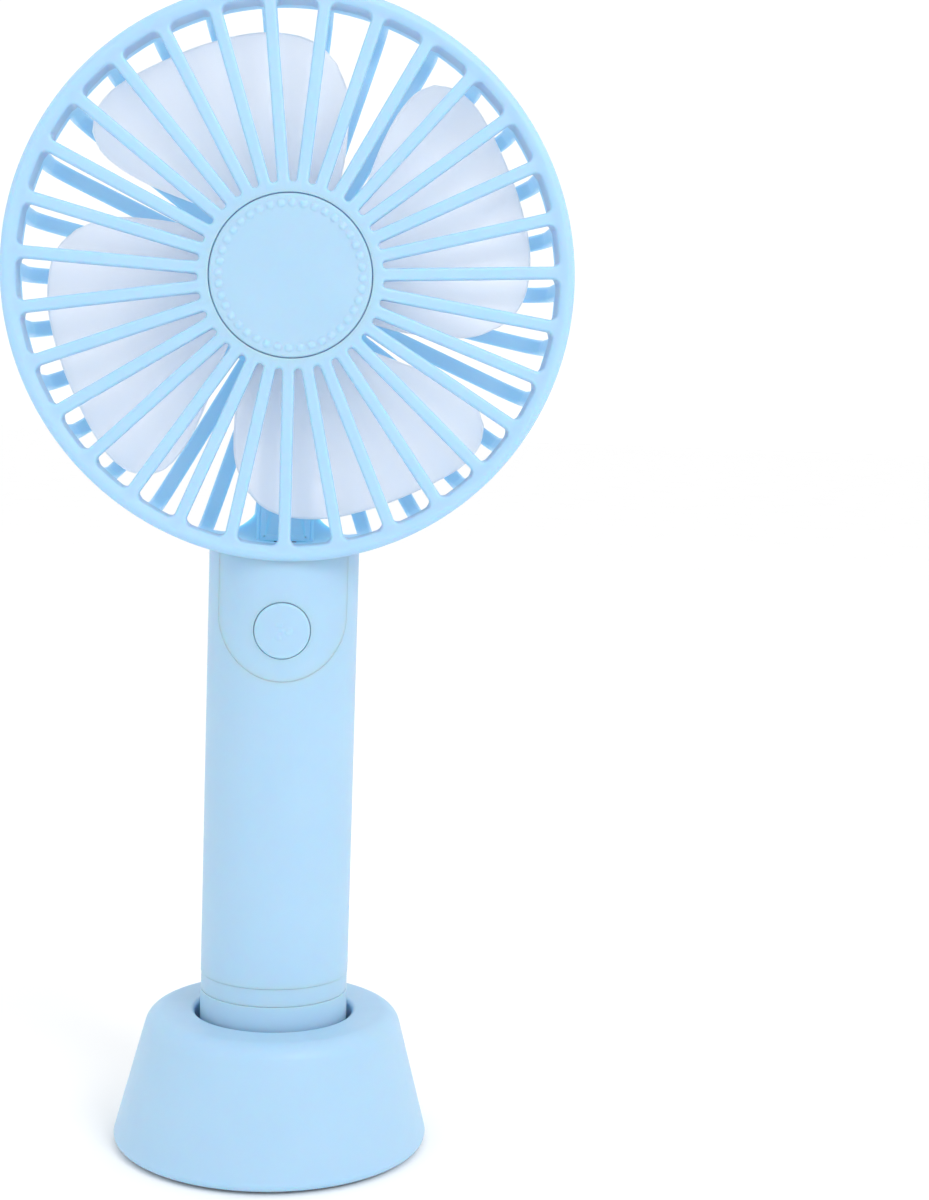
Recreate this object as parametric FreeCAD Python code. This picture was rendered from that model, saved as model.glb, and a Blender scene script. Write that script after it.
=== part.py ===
"""Handheld electric fan standing in its desk dock, in millimetres.

+Z is up and the fan blows towards -Y. The origin is the centre of the dock's underside.
Each function ending in a node name returns one separate piece of the fan.
"""
import FreeCAD, Part
import math
import os

from FreeCAD import Vector

# ---- Driving dimensions --------------------------------------------------------------------

X_AXIS = Vector(1, 0, 0)
Y_AXIS = Vector(0, 1, 0)
Z_AXIS = Vector(0, 0, 1)
FAR = 80.0                      # longer than any piece, for cutting tools
GAP = 0.1                       # assembly gap between moulded pieces

# Head: everything turned about the fan axis, which runs along Y at this height
HEAD_Z = 163.5
HEAD_CENTRE = Vector(0, 0, HEAD_Z)
RING_R = 51.0                   # outside of the front ring
RING_INNER_R = 48.2
RING_FRONT_Y = -16.0
RING_BACK_Y = -6.0              # parting line between the two grilles
RING_REBATE_R = 49.6
RING_REBATE_DEPTH = 3.0
RIB_COUNT = 31
RIB_WIDTH = 2.2
RIB_FRONT_Y = -15.4
RIB_BACK_Y = -12.9
RIB_EDGE_ROUND = 0.6
SLOT_CORNER_R = 1.1
HUB_R = 16.5                    # front hub that the ribs spring from
HUB_BACK_Y = -12.3

CAP_R = 14.5                    # centre cap
CAP_THICKNESS = 1.4
CAP_PROUD = 0.1
BEAD_COUNT = 40
BEAD_CIRCLE_R = 12.75
BEAD_R = 0.68
BEAD_HEIGHT = 0.2

RIM_R = 50.7                    # outside of the rear grille's rim
RIM_INNER_R = 48.7
RIM_BACK_Y = -4.0
LIP_R = 49.5                    # lip that plugs into the front ring
SHOULDER_Y = 14.0               # where the rim's line and the back's line would meet
SHOULDER_ROUND = 8.0
BACK_Y = 20.0                   # back of the rear grille at its hub
SHELL_THICKNESS = 2.1
BAR_COUNT = 30
BAR_WIDTH = 2.9
BAR_EDGE_ROUND = 0.6

CUP_R = 14.6                    # motor cup in the middle of the rear grille
CUP_INNER_R = 12.4
CUP_FRONT_Y = 1.5
CUP_FLOOR = 1.5
REAR_HUB_R = 17.2
REAR_HUB_DEPTH = 3.0
COVER_R = 15.3
COVER_DEPTH = 1.2
COVER_CROWN = 0.9

SPINE_HALF_WIDTH = 5.4          # wire duct from the motor down to the neck
SPINE_WALL = 1.2
SPINE_FRONT_Y = 2.6
SPINE_COVER_THICKNESS = 1.0
WIRE_DOOR_HALF = 3.8            # half width of the holes the leads pass through
NECK_DOOR_BACK_Y = 6.2

# Impeller
BLADE_COUNT = 4
BLADE_FIRST_ANGLE = 34.9        # clockwise from the top, seen from the front
BLADE_THICKNESS = 1.1
BLADE_BACK_Y = -1.6
BLADE_FRONT_Y = -10.6
IMPELLER_HUB_R = 13.2
IMPELLER_HUB_WALL = 1.3
IMPELLER_FRONT_Y = -11.4
IMPELLER_BACK_Y = 0.3
IMPELLER_BOSS_R = 2.6

# Motor, 24.4 mm can
SHAFT_R = 1.0
SHAFT_FRONT_Y = -9.4
BUSH_BORE_R = 1.04
BUSH_R = 2.4
CAN_R = 12.2
CAN_WALL = 0.8
CAN_LENGTH = 12.3
CAN_FRONT_Y = CUP_FRONT_Y + CUP_FLOOR
CAN_BACK_Y = CAN_FRONT_Y + CAN_LENGTH
MOTOR_BOSS_R = 3.0
END_BELL_THICKNESS = 1.4
MAGNET_R = 11.3
MAGNET_INNER_R = 9.2
MAGNET_ARC = 130.0
MAGNET_FRONT_GAP = 1.6
MAGNET_BACK_GAP = 0.8
BRUSH_X = 2.6
BRUSH_HALF = 0.12
BRUSH_WIDTH = 1.2
BRUSH_BELOW = 6.0
BRUSH_ABOVE = 2.0
TERMINAL_X = 5.0
TERMINAL_DROP = 7.0             # below the shaft
TERMINAL_HALF_WIDTH = 0.8
TERMINAL_HALF_THICKNESS = 0.2
TERMINAL_REACH = 1.9            # behind the can
ROTOR_R = 8.7
ROTOR_FRONT_Y = 6.2
ROTOR_BACK_Y = 11.0
ROTOR_POLES = 3
ROTOR_CORE_R = 3.2
ROTOR_RIM = 1.4
ROTOR_ARM_HALF = 1.3
ROTOR_GAP_HALF = 1.1            # half width of the gap between two pole shoes
COIL_HALF_WIDTH = 2.5
COIL_OVERHANG = 1.0
COMMUTATOR_R = 2.3
COMMUTATOR_SLIT = 0.3
MOTOR_SCREW_CIRCLE_R = 8.0

# Handle
HANDLE_R = 14.0
HANDLE_INNER_R = 12.0
TUBE_Z0 = 33.1
TUBE_TOP_Z = 130.0              # before the head's outline is cut from it
HEAD_CLEARANCE = 0.15
INSERT_R = 11.85                # pieces that slide inside the tube
INSERT_WALL = 1.2
RIB_INNER_R = 9.4               # ribs inside the tube that steady the cell
INNER_RIB_WIDTH = 1.2

PANEL_HALF_WIDTH = 11.8         # U-shaped button panel
BUTTON_Z = 99.8
PANEL_ARC_Z = BUTTON_Z + 2.4
PANEL_BACK_Y = -6.5
BUTTON_R = 5.1
BUTTON_HOLE_R = 5.3
BUTTON_PROUD = 0.45
BUTTON_FLANGE_R = 6.0
BUTTON_FLANGE_Y = -10.1
BUTTON_FLANGE_THICKNESS = 0.8
BUTTON_STEM_R = 1.6
PLUNGER_TIP_Y = -8.6

RING_Z0 = 29.6                  # trim ring between the tube and the end cap
TRIM_RING_R = 13.9
END_CAP_Z0 = 5.1
END_CAP_WALL = 2.0
SPIGOT_TOP_Z = TUBE_Z0 + 3.5

# Cell
CELL_R = 8.9
CELL_LENGTH = 64.8
CELL_Z0 = 13.4
SLEEVE_THICKNESS = 0.15
TERMINAL_R = 3.0
TERMINAL_HEIGHT = 1.2
TAB_THICKNESS = 0.2
TAB_HALF_WIDTH = 2.5
TAB_BACK_Y = 4.4                # where the upper tab turns up

# Circuit board, standing on the handle's middle plane
BOARD_X = -1.3                  # component side
BOARD_THICKNESS = 1.0
BOARD_FRONT_Y = -7.6
BOARD_REAR_Y = 10.8
BOARD_Z0 = BUTTON_Z - 13.3
BOARD_Z1 = BUTTON_Z + 7.7
CARRIER_FRONT_Y = -8.0          # keeps the cradle behind the pressed button
POST_LENGTH = 2.4               # of the cradle's screw posts
CHIP_HEIGHT = 1.4
CHIP_LEGS = 4                   # along each side
LEG_REACH = 0.7
LEG_HEIGHT = 0.5
LEG_HALF_WIDTH = 0.2
SWITCH_DEPTH = 3.2
SWITCH_HALF_HEIGHT = 3.0
SWITCH_WIDTH = 3.0
SWITCH_FRONT_Y = -7.4
PLUNGER_R = 1.1
PLUNGER_ROOM = 1.2              # free depth behind the plunger
USB_Z = BUTTON_Z - 5.8
USB_HALF_WIDTH = 3.75
USB_HALF_HEIGHT = 1.3
USB_WALL = 0.3
USB_MOUTH_Y = 12.4
USB_DEPTH = 5.8
LIGHT_Z = BUTTON_Z + 1.7
LENS_R = 0.9
BOARD_SCREWS_YZ = ((-3.8, BOARD_Z0 + 4.0), (6.4, BOARD_Z0 + 18.4))
PLUG_Z0 = BOARD_Z1 + 1.0        # foot of the collar that plugs into the handle
HANDLE_SCREW_Z = HEAD_Z - 53.2

# Leads
LEAD_R = 0.55
LEAD_HALF_SPACING = 1.6

# Dock
DOCK_R = 30.2
DOCK_TOP_R = 23.6
DOCK_HEIGHT = 25.5
DOCK_Z0 = 0.6
DOCK_WALL = 2.2
DOCK_TOP_ROUND = 3.5
DOCK_FOOT_ROUND = 1.2
SOCKET_R = 15.0
SOCKET_WALL = 1.6
SOCKET_FLOOR_Z = 4.2
SOCKET_FLOOR = 1.4
PLATE_R = 26.4
PLATE_Z0 = 1.0
PLATE_THICKNESS = 1.5
FOOT_R = 25.0
DOCK_BOSS_CIRCLE_R = 21.0
DOCK_BOSS_R = 2.3
DOCK_PILOT_TOP_Z = 13.0
DOCK_SCREW_COUNT = 3
FELT_R = 13.0
FELT_Z0 = 4.3
FELT_THICKNESS = 0.7

# Small screws, 2 mm thread
SCREW_R = 0.95
SCREW_HOLE_R = 1.1
SCREW_HEAD_R = 1.8
SCREW_HEAD_HEIGHT = 0.9


# ---- Shapes used by many pieces --------------------------------------------------------------

def box(x0, x1, y0, y1, z0, z1):
    return Part.makeBox(x1 - x0, y1 - y0, z1 - z0, Vector(x0, y0, z0))


def cylinder_y(radius, y0, y1, x=0.0, z=HEAD_Z):
    return Part.makeCylinder(radius, y1 - y0, Vector(x, y0, z), Y_AXIS)


def cylinder_z(radius, z0, z1, x=0.0, y=0.0):
    return Part.makeCylinder(radius, z1 - z0, Vector(x, y, z0), Z_AXIS)


def cylinder_x(radius, x0, x1, y, z):
    return Part.makeCylinder(radius, x1 - x0, Vector(x0, y, z), X_AXIS)


def rounded_edges(corners, closed):
    """Straight runs through the corners, with a tangent arc of each corner's own radius."""
    count = len(corners)
    starts, ends, arcs = [], [], []
    for index, (point, radius) in enumerate(corners):
        inside = closed or 0 < index < count - 1
        if not inside or radius <= 0:
            starts.append(point)
            ends.append(point)
            arcs.append(None)
            continue
        back = (corners[index - 1][0] - point).normalize()
        ahead = (corners[(index + 1) % count][0] - point).normalize()
        half_angle = back.getAngle(ahead) / 2
        reach = radius / math.tan(half_angle)
        middle_way = (back + ahead).normalize()
        middle = point + middle_way * (radius / math.sin(half_angle) - radius)
        starts.append(point + back * reach)
        ends.append(point + ahead * reach)
        arcs.append(Part.Arc(starts[-1], middle, ends[-1]).toShape())
    edges = []
    for index in range(count):
        if arcs[index]:
            edges.append(arcs[index])
        following = (index + 1) % count
        if following == 0 and not closed:
            break
        if ends[index].distanceToPoint(starts[following]) > 1e-6:
            edges.append(Part.LineSegment(ends[index], starts[following]).toShape())
    return edges


def rounded_face(corners):
    return Part.Face(Part.Wire(Part.__sortEdges__(rounded_edges(corners, True))))


def turned_y(*profile):
    """Solid turned about the fan axis from (radius, y, corner radius) points."""
    corners = [(Vector(r, y, HEAD_Z), corner) for r, y, corner in profile]
    return rounded_face(corners).revolve(HEAD_CENTRE, Y_AXIS, 360)


def turned_z(*profile):
    """Solid turned about the handle axis from (radius, z, corner radius) points."""
    corners = [(Vector(r, 0, z), corner) for r, z, corner in profile]
    return rounded_face(corners).revolve(Vector(0, 0, 0), Z_AXIS, 360)


def tube_z(outer, inner, z0, z1):
    return cylinder_z(outer, z0, z1).cut(cylinder_z(inner, z0 - 1, z1 + 1))


def tube_y(outer, inner, y0, y1):
    return cylinder_y(outer, y0, y1).cut(cylinder_y(inner, y0 - 1, y1 + 1))


def around_head(shape, angle):
    """Copy turned clockwise about the fan axis, as seen from the front."""
    copy = shape.copy()
    copy.rotate(HEAD_CENTRE, Y_AXIS, angle)
    return copy


def around_handle(shape, angle):
    copy = shape.copy()
    copy.rotate(Vector(0, 0, 0), Z_AXIS, angle)
    return copy


def screw(tip, direction, length):
    """Pan-head screw: the tip of its thread, the way its head faces, and the thread's length."""
    seat = tip + direction * length
    shank = Part.makeCylinder(SCREW_R, length, tip, direction)
    head = Part.makeCylinder(SCREW_HEAD_R, SCREW_HEAD_HEIGHT, seat, direction)
    cross_depth = 0.5
    cross_reach = 1.1
    cross_width = 0.35
    top = seat + direction * (SCREW_HEAD_HEIGHT - cross_depth)
    side = direction.cross(Z_AXIS if abs(direction.z) < 0.5 else X_AXIS).normalize()
    solid = shank.fuse(head)
    for across in (side, direction.cross(side)):
        along = direction.cross(across)
        corner = top - across * cross_width / 2 - along * cross_reach
        points = [corner, corner + across * cross_width,
                  corner + across * cross_width + along * cross_reach * 2,
                  corner + along * cross_reach * 2, corner]
        slot = Part.Face(Part.makePolygon(points)).extrude(direction)
        solid = solid.cut(slot)
    return solid


def lead(name, route):
    """Round wire along straight runs joined by tangent arcs; route is (point, arc radius)."""
    edges = rounded_edges(route, False)
    path = Part.Wire(edges)
    start = route[0][0]
    heading = route[1][0] - start
    section = Part.Wire(Part.makeCircle(LEAD_R, start, heading))
    wire = path.makePipeShell([section], True, True)
    expected = math.pi * LEAD_R ** 2 * path.Length
    radii = [radius for _, radius in route[1:-1]]
    ratio = wire.Volume / expected
    print(name, "length", round(path.Length, 1), "volume ratio", round(ratio, 4), "radii", radii)
    return wire


def one_solid(shape):
    """The single solid of a shape that was built by booleans."""
    solids = shape.Solids
    if len(solids) != 1:
        raise ValueError("expected one solid, got %d" % len(solids))
    return solids[0]


# ---- Head envelope --------------------------------------------------------------------------

def head_envelope(grow):
    """Solid outline of the closed head, grown by a clearance."""
    return turned_y((0, RING_FRONT_Y - grow, 0),
                    (RING_R + grow, RING_FRONT_Y - grow, 0),
                    (RING_R + grow, SHOULDER_Y + grow, SHOULDER_ROUND),
                    (CUP_R, BACK_Y + grow, 0),
                    (0, BACK_Y + grow, 0))


def rear_shell_inside():
    """Solid that fills the rear grille's hollow."""
    back_y = BACK_Y - SHELL_THICKNESS
    return turned_y((0, RING_BACK_Y - RING_REBATE_DEPTH - 1, 0),
                    (RIM_INNER_R, RING_BACK_Y - RING_REBATE_DEPTH - 1, 0),
                    (RIM_INNER_R, SHOULDER_Y - SHELL_THICKNESS, SHOULDER_ROUND - SHELL_THICKNESS),
                    (CUP_R, back_y, 0),
                    (0, back_y, 0))


def rear_shell_outside():
    return turned_y((0, RING_BACK_Y, 0),
                    (RIM_R, RING_BACK_Y, 0),
                    (RIM_R, SHOULDER_Y, SHOULDER_ROUND),
                    (CUP_R, BACK_Y, 0),
                    (0, BACK_Y, 0))


# ---- Head pieces ----------------------------------------------------------------------------

def rib_slot():
    """Outline of one slot between two ribs, centred on the top of the grille."""
    half_pitch = math.pi / RIB_COUNT
    half_rib = RIB_WIDTH / 2

    def place(along, across, side):
        """Point beside a rib: along it from the fan axis and across it towards the slot."""
        angle = side * half_pitch
        x = along * math.sin(angle) - side * across * math.cos(angle)
        z = along * math.cos(angle) + side * across * math.sin(angle)
        return Vector(x, RIB_FRONT_Y - 1, HEAD_Z + z)

    inner_centre = (HUB_R - half_rib) / (1 - math.sin(half_pitch))
    inner_along = inner_centre * math.cos(half_pitch)
    corner_along = math.sqrt((RING_INNER_R - SLOT_CORNER_R) ** 2 - (half_rib + SLOT_CORNER_R) ** 2)
    corner_angle = math.atan2(half_rib + SLOT_CORNER_R, corner_along)
    arc_along = RING_INNER_R * math.cos(corner_angle)
    arc_across = RING_INNER_R * math.sin(corner_angle)
    bulge_angle = (corner_angle - math.pi / 2) / 2
    bulge_along = corner_along + SLOT_CORNER_R * math.cos(bulge_angle)
    bulge_across = half_rib + SLOT_CORNER_R + SLOT_CORNER_R * math.sin(bulge_angle)

    left_in, right_in = place(inner_along, half_rib, -1), place(inner_along, half_rib, 1)
    left_side, right_side = place(corner_along, half_rib, -1), place(corner_along, half_rib, 1)
    left_bulge, right_bulge = place(bulge_along, bulge_across, -1), place(bulge_along, bulge_across, 1)
    left_arc, right_arc = place(arc_along, arc_across, -1), place(arc_along, arc_across, 1)
    inner_end = Vector(0, RIB_FRONT_Y - 1, HEAD_Z + HUB_R)
    outer_end = Vector(0, RIB_FRONT_Y - 1, HEAD_Z + RING_INNER_R)
    edges = [Part.Arc(left_in, inner_end, right_in).toShape(),
             Part.LineSegment(right_in, right_side).toShape(),
             Part.Arc(right_side, right_bulge, right_arc).toShape(),
             Part.Arc(right_arc, outer_end, left_arc).toShape(),
             Part.Arc(left_arc, left_bulge, left_side).toShape(),
             Part.LineSegment(left_side, left_in).toShape()]
    return Part.Face(Part.Wire(edges))


def front_grille():
    """Ring, ribs and hub moulded in one piece."""
    slot = rib_slot().extrude(Y_AXIS * (RIB_BACK_Y - RIB_FRONT_Y + 2))
    pitch = 360.0 / RIB_COUNT
    slots = Part.makeCompound([around_head(slot, index * pitch) for index in range(RIB_COUNT)])
    plate_r = (RING_INNER_R + RING_REBATE_R) / 2
    plate = one_solid(cylinder_y(plate_r, RIB_FRONT_Y, RIB_BACK_Y).cut(slots))
    slot_edges = []
    for edge in plate.Edges:
        flat = all(abs(vertex.Y - RIB_FRONT_Y) < 1e-4 for vertex in edge.Vertexes)
        reach = max(math.hypot(vertex.X, vertex.Z - HEAD_Z) for vertex in edge.Vertexes)
        if flat and reach < RING_INNER_R + 0.01:
            slot_edges.append(edge)
    plate = plate.makeFillet(RIB_EDGE_ROUND, slot_edges)
    ring = turned_y((RING_INNER_R, RING_FRONT_Y, 1.4),
                    (RING_R, RING_FRONT_Y, 1.4),
                    (RING_R, RING_BACK_Y, 0.3),
                    (RING_REBATE_R, RING_BACK_Y, 0),
                    (RING_REBATE_R, RING_BACK_Y - RING_REBATE_DEPTH, 0),
                    (RING_INNER_R, RING_BACK_Y - RING_REBATE_DEPTH, 0))
    cap_seat_y = RING_FRONT_Y + CAP_THICKNESS
    hub = turned_y((0, cap_seat_y, 0),
                   (CAP_R + GAP, cap_seat_y, 0),
                   (CAP_R + GAP, RING_FRONT_Y, 0.3),
                   (HUB_R, RING_FRONT_Y, 0.7),
                   (HUB_R, HUB_BACK_Y, 0),
                   (0, HUB_BACK_Y, 0))
    cap_seat = cylinder_y(CAP_R + GAP, RING_FRONT_Y - 1, cap_seat_y)
    return one_solid(plate.fuse([ring, hub]).cut(cap_seat))


def centre_cap():
    """Round cap in the front hub, with a ring of small domes near its edge."""
    front_y = RING_FRONT_Y - CAP_PROUD
    seat_y = RING_FRONT_Y + CAP_THICKNESS
    cap = turned_y((0, front_y, 0), (CAP_R, front_y, 0.35), (CAP_R, seat_y, 0), (0, seat_y, 0))
    sphere_r = (BEAD_R ** 2 + BEAD_HEIGHT ** 2) / (2 * BEAD_HEIGHT)
    sphere_y = front_y - BEAD_HEIGHT + sphere_r
    root_y = front_y + BEAD_HEIGHT / 2
    root_angle = math.degrees(math.asin((sphere_y - root_y) / sphere_r))
    beads = []
    for index in range(BEAD_COUNT):
        angle = 2 * math.pi * index / BEAD_COUNT
        x = BEAD_CIRCLE_R * math.sin(angle)
        z = HEAD_Z + BEAD_CIRCLE_R * math.cos(angle)
        beads.append(Part.makeSphere(sphere_r, Vector(x, sphere_y, z), -Y_AXIS, root_angle, 90, 360))
    return one_solid(cap.fuse(beads))


def rear_bar():
    """The bar above the fan axis: a flat strip bent round the shoulder, with its long edges rounded."""
    half = BAR_WIDTH / 2
    outer_r, inner_r = RIM_R - GAP, RIM_INNER_R + GAP
    hub_r = (CUP_R + REAR_HUB_R) / 2
    start_y = RIM_BACK_Y - 0.5
    end_back_y = BACK_Y - 2 * GAP
    profile = [(outer_r, start_y, 0),
               (outer_r, SHOULDER_Y, SHOULDER_ROUND),
               (hub_r, end_back_y, 0),
               (hub_r, end_back_y - SHELL_THICKNESS, 0),
               (inner_r, SHOULDER_Y - SHELL_THICKNESS, SHOULDER_ROUND - SHELL_THICKNESS),
               (inner_r, start_y, 0)]
    corners = [(Vector(-half, y, HEAD_Z + r), corner) for r, y, corner in profile]
    bar = rounded_face(corners).extrude(X_AXIS * BAR_WIDTH)
    long_edges = []
    for edge in bar.Edges:
        bounds = edge.BoundBox
        across = bounds.XMax - bounds.XMin > BAR_WIDTH / 2
        in_end_face = bounds.YMax < start_y + GAP or bounds.ZMax < HEAD_Z + hub_r + GAP
        if not across and not in_end_face:
            long_edges.append(edge)
    return one_solid(bar.makeFillet(BAR_EDGE_ROUND, long_edges))


def rear_grille():
    """Rim, bars, motor cup, wire spine and the plug that goes into the handle."""
    inside = rear_shell_inside()
    shell = rear_shell_outside().cut(inside)
    rim = shell.common(box(-FAR, FAR, RING_BACK_Y, RIM_BACK_Y, 0, 3 * FAR))
    lip = tube_y(LIP_R, RIM_INNER_R, RING_BACK_Y - RING_REBATE_DEPTH + GAP, RING_BACK_Y + GAP)
    pitch = 360.0 / BAR_COUNT
    bar = rear_bar()
    bars = [around_head(bar, (index + 0.5) * pitch) for index in range(BAR_COUNT)]
    cup = turned_y((MOTOR_BOSS_R + GAP, CUP_FRONT_Y, 0),
                   (CUP_R, CUP_FRONT_Y, 0.5),
                   (CUP_R, BACK_Y - REAR_HUB_DEPTH, 0),
                   (REAR_HUB_R, BACK_Y - REAR_HUB_DEPTH, 0),
                   (REAR_HUB_R, BACK_Y, 0.6),
                   (COVER_R + GAP, BACK_Y, 0),
                   (COVER_R + GAP, BACK_Y - COVER_DEPTH, 0),
                   (CUP_INNER_R, BACK_Y - COVER_DEPTH, 0),
                   (CUP_INNER_R, CAN_FRONT_Y, 0),
                   (MOTOR_BOSS_R + GAP, CAN_FRONT_Y, 0))
    spine_block = box(-SPINE_HALF_WIDTH, SPINE_HALF_WIDTH, SPINE_FRONT_Y, FAR,
                      HEAD_Z - RIM_R + 1, HEAD_Z - CUP_R + 0.5)
    spine = spine_block.common(rear_shell_outside())
    hollow_half = SPINE_HALF_WIDTH - SPINE_WALL
    hollow = box(-hollow_half, hollow_half, 0, FAR, HEAD_Z - RIM_R - 1, HEAD_Z - CUP_R).common(inside)
    above_handle = cylinder_z(HANDLE_R, 0, HEAD_Z - CUP_R)
    roof = shell.common(above_handle).common(box(-FAR, FAR, RING_BACK_Y, FAR, 0, HEAD_Z))
    collar = tube_z(INSERT_R, INSERT_R - INSERT_WALL, PLUG_Z0, HEAD_Z - CUP_R).cut(head_envelope(-0.6))
    boss = cylinder_y(SCREW_HEAD_R + 0.6, 6.4, INSERT_R - 0.8, z=HANDLE_SCREW_Z)
    grille = rim.fuse([lip, cup, spine, roof, collar, boss] + bars)
    front_ring_zone = tube_y(FAR, RING_REBATE_R - GAP, RING_FRONT_Y - 5, RING_BACK_Y - 0.001)
    grille = grille.cut(hollow).cut(front_ring_zone)
    wire_door = box(-WIRE_DOOR_HALF, WIRE_DOOR_HALF, CAN_BACK_Y - 0.3, BACK_Y - COVER_DEPTH - 0.4,
                    HEAD_Z - CUP_R - 1, HEAD_Z - CUP_INNER_R + 1)
    neck_door = box(-WIRE_DOOR_HALF, WIRE_DOOR_HALF, SPINE_FRONT_Y + 0.4, NECK_DOOR_BACK_Y,
                    PLUG_Z0, HEAD_Z - RIM_INNER_R + 1)
    pilot = cylinder_y(SCREW_R, 6.0, FAR, z=HANDLE_SCREW_Z)
    grille = grille.cut(wire_door).cut(neck_door).cut(pilot.common(box(-FAR, FAR, 0, INSERT_R, 0, 3 * FAR)))
    for side in (-1, 1):
        hole = cylinder_y(SCREW_HOLE_R, CUP_FRONT_Y - 1, CAN_FRONT_Y + 1, x=side * MOTOR_SCREW_CIRCLE_R)
        grille = grille.cut(hole)
    cover_seat = cylinder_y(COVER_R + GAP, BACK_Y - COVER_DEPTH, FAR)
    return one_solid(grille.cut(cover_seat).cut(spine_cover_blank(GAP)))


def spine_cover_blank(grow):
    half = SPINE_HALF_WIDTH - SPINE_WALL / 2 + grow
    return box(-half, half, SPINE_FRONT_Y - grow, SPINE_FRONT_Y + SPINE_COVER_THICKNESS,
               HEAD_Z - RIM_INNER_R + 0.6 - grow, HEAD_Z - CUP_R - 0.3 + grow)


def spine_cover():
    return spine_cover_blank(0)


def motor_cover():
    """Crowned disc that closes the motor cup at the back."""
    seat_y = BACK_Y - COVER_DEPTH
    edge_y = BACK_Y
    crown_y = edge_y + COVER_CROWN
    rise = crown_y - edge_y
    sphere_r = (COVER_R ** 2 + rise ** 2) / (2 * rise)
    ball = Part.makeSphere(sphere_r, Vector(0, crown_y - sphere_r, HEAD_Z))
    disc = cylinder_y(COVER_R, seat_y, crown_y + 1).common(ball)
    dish = cylinder_y(4.0, edge_y + COVER_CROWN - 0.4, FAR)
    return one_solid(disc.cut(dish))


def blade_height(turn):
    """Depth of the blade's front face, turn being the angle from its leading edge."""
    share = (turn + 6.0) / 104.0
    bow = 0.10 * math.sin(math.pi * share)
    return BLADE_BACK_Y + (BLADE_FRONT_Y - BLADE_BACK_Y) * (share + bow)


def blade_point(radius, turn, y):
    angle = math.radians(BLADE_FIRST_ANGLE + turn)
    return Vector(radius * math.sin(angle), y, HEAD_Z + radius * math.cos(angle))


def blade():
    """One wide swept blade: a twisted sheet trimmed to its outline."""
    turns = [-16, -2, 12, 26, 40, 54, 68, 82, 96, 110]
    radii = [9, 20, 30, 40, 50]
    grid = [[blade_point(radius, turn, blade_height(turn)) for radius in radii] for turn in turns]
    surface = Part.BSplineSurface()
    surface.interpolate(grid)
    sheet = surface.toShape().extrude(Y_AXIS * BLADE_THICKNESS)
    root_r = IMPELLER_HUB_R - IMPELLER_HUB_WALL / 2
    edge = [(root_r, 12), (17.5, 6.5), (23.0, 1.0), (30.0, -2.8), (36.5, -3.8), (41.5, -2.8),
            (44.6, -0.2), (46.3, 4.0), (46.7, 9.0), (46.2, 14.0), (45.2, 22.0), (44.5, 33.0),
            (44.2, 45.0), (43.4, 54.5), (41.8, 61.0), (39.2, 65.8), (35.0, 70.5), (30.0, 74.0),
            (23.0, 78.5), (17.5, 82.0), (root_r, 86)]
    outline = Part.BSplineCurve()
    outline.interpolate([blade_point(radius, turn, -FAR) for radius, turn in edge])
    ends = Part.LineSegment(outline.EndPoint, outline.StartPoint)
    cutter = Part.Face(Part.Wire([outline.toShape(), ends.toShape()])).extrude(Y_AXIS * 2 * FAR)
    return one_solid(sheet.common(cutter))


def impeller():
    """Cupped hub with its boss and four blades."""
    hub = turned_y((SHAFT_R, IMPELLER_FRONT_Y, 0),
                   (IMPELLER_HUB_R, IMPELLER_FRONT_Y, 1.2),
                   (IMPELLER_HUB_R, IMPELLER_BACK_Y, 0),
                   (IMPELLER_HUB_R - IMPELLER_HUB_WALL, IMPELLER_BACK_Y, 0),
                   (IMPELLER_HUB_R - IMPELLER_HUB_WALL, IMPELLER_FRONT_Y + IMPELLER_HUB_WALL, 0),
                   (IMPELLER_BOSS_R, IMPELLER_FRONT_Y + IMPELLER_HUB_WALL, 0),
                   (IMPELLER_BOSS_R, -1.2, 0),
                   (SHAFT_R, -1.2, 0))
    hub_room = cylinder_y(IMPELLER_HUB_R - IMPELLER_HUB_WALL, -FAR, FAR)
    pitch = 360.0 / BLADE_COUNT
    one_blade = blade().cut(hub_room)
    blades = [around_head(one_blade, index * pitch) for index in range(BLADE_COUNT)]
    return one_solid(hub.fuse(blades))


# ---- Motor ----------------------------------------------------------------------------------

def motor_can():
    can = turned_y((BUSH_R, CUP_FRONT_Y + 0.1, 0),
                   (MOTOR_BOSS_R, CUP_FRONT_Y + 0.1, 0.2),
                   (MOTOR_BOSS_R, CAN_FRONT_Y, 0),
                   (CAN_R, CAN_FRONT_Y, 1.0),
                   (CAN_R, CAN_BACK_Y, 0),
                   (CAN_R - CAN_WALL, CAN_BACK_Y, 0),
                   (CAN_R - CAN_WALL, CAN_FRONT_Y + CAN_WALL, 0.4),
                   (BUSH_R, CAN_FRONT_Y + CAN_WALL, 0))
    for side in (-1, 1):
        can = can.cut(cylinder_y(SCREW_R, CUP_FRONT_Y, CAN_FRONT_Y + 2, x=side * MOTOR_SCREW_CIRCLE_R))
    return one_solid(can)


def motor_end_bell():
    """Plastic lid of the can, with a slot for each terminal."""
    bell = tube_y(CAN_R - CAN_WALL, BUSH_R, CAN_BACK_Y - END_BELL_THICKNESS, CAN_BACK_Y)
    for side in (-1, 1):
        bell = bell.cut(terminal_blank(side, GAP, CAN_BACK_Y - 3, CAN_BACK_Y + 1))
    return one_solid(bell)


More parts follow.
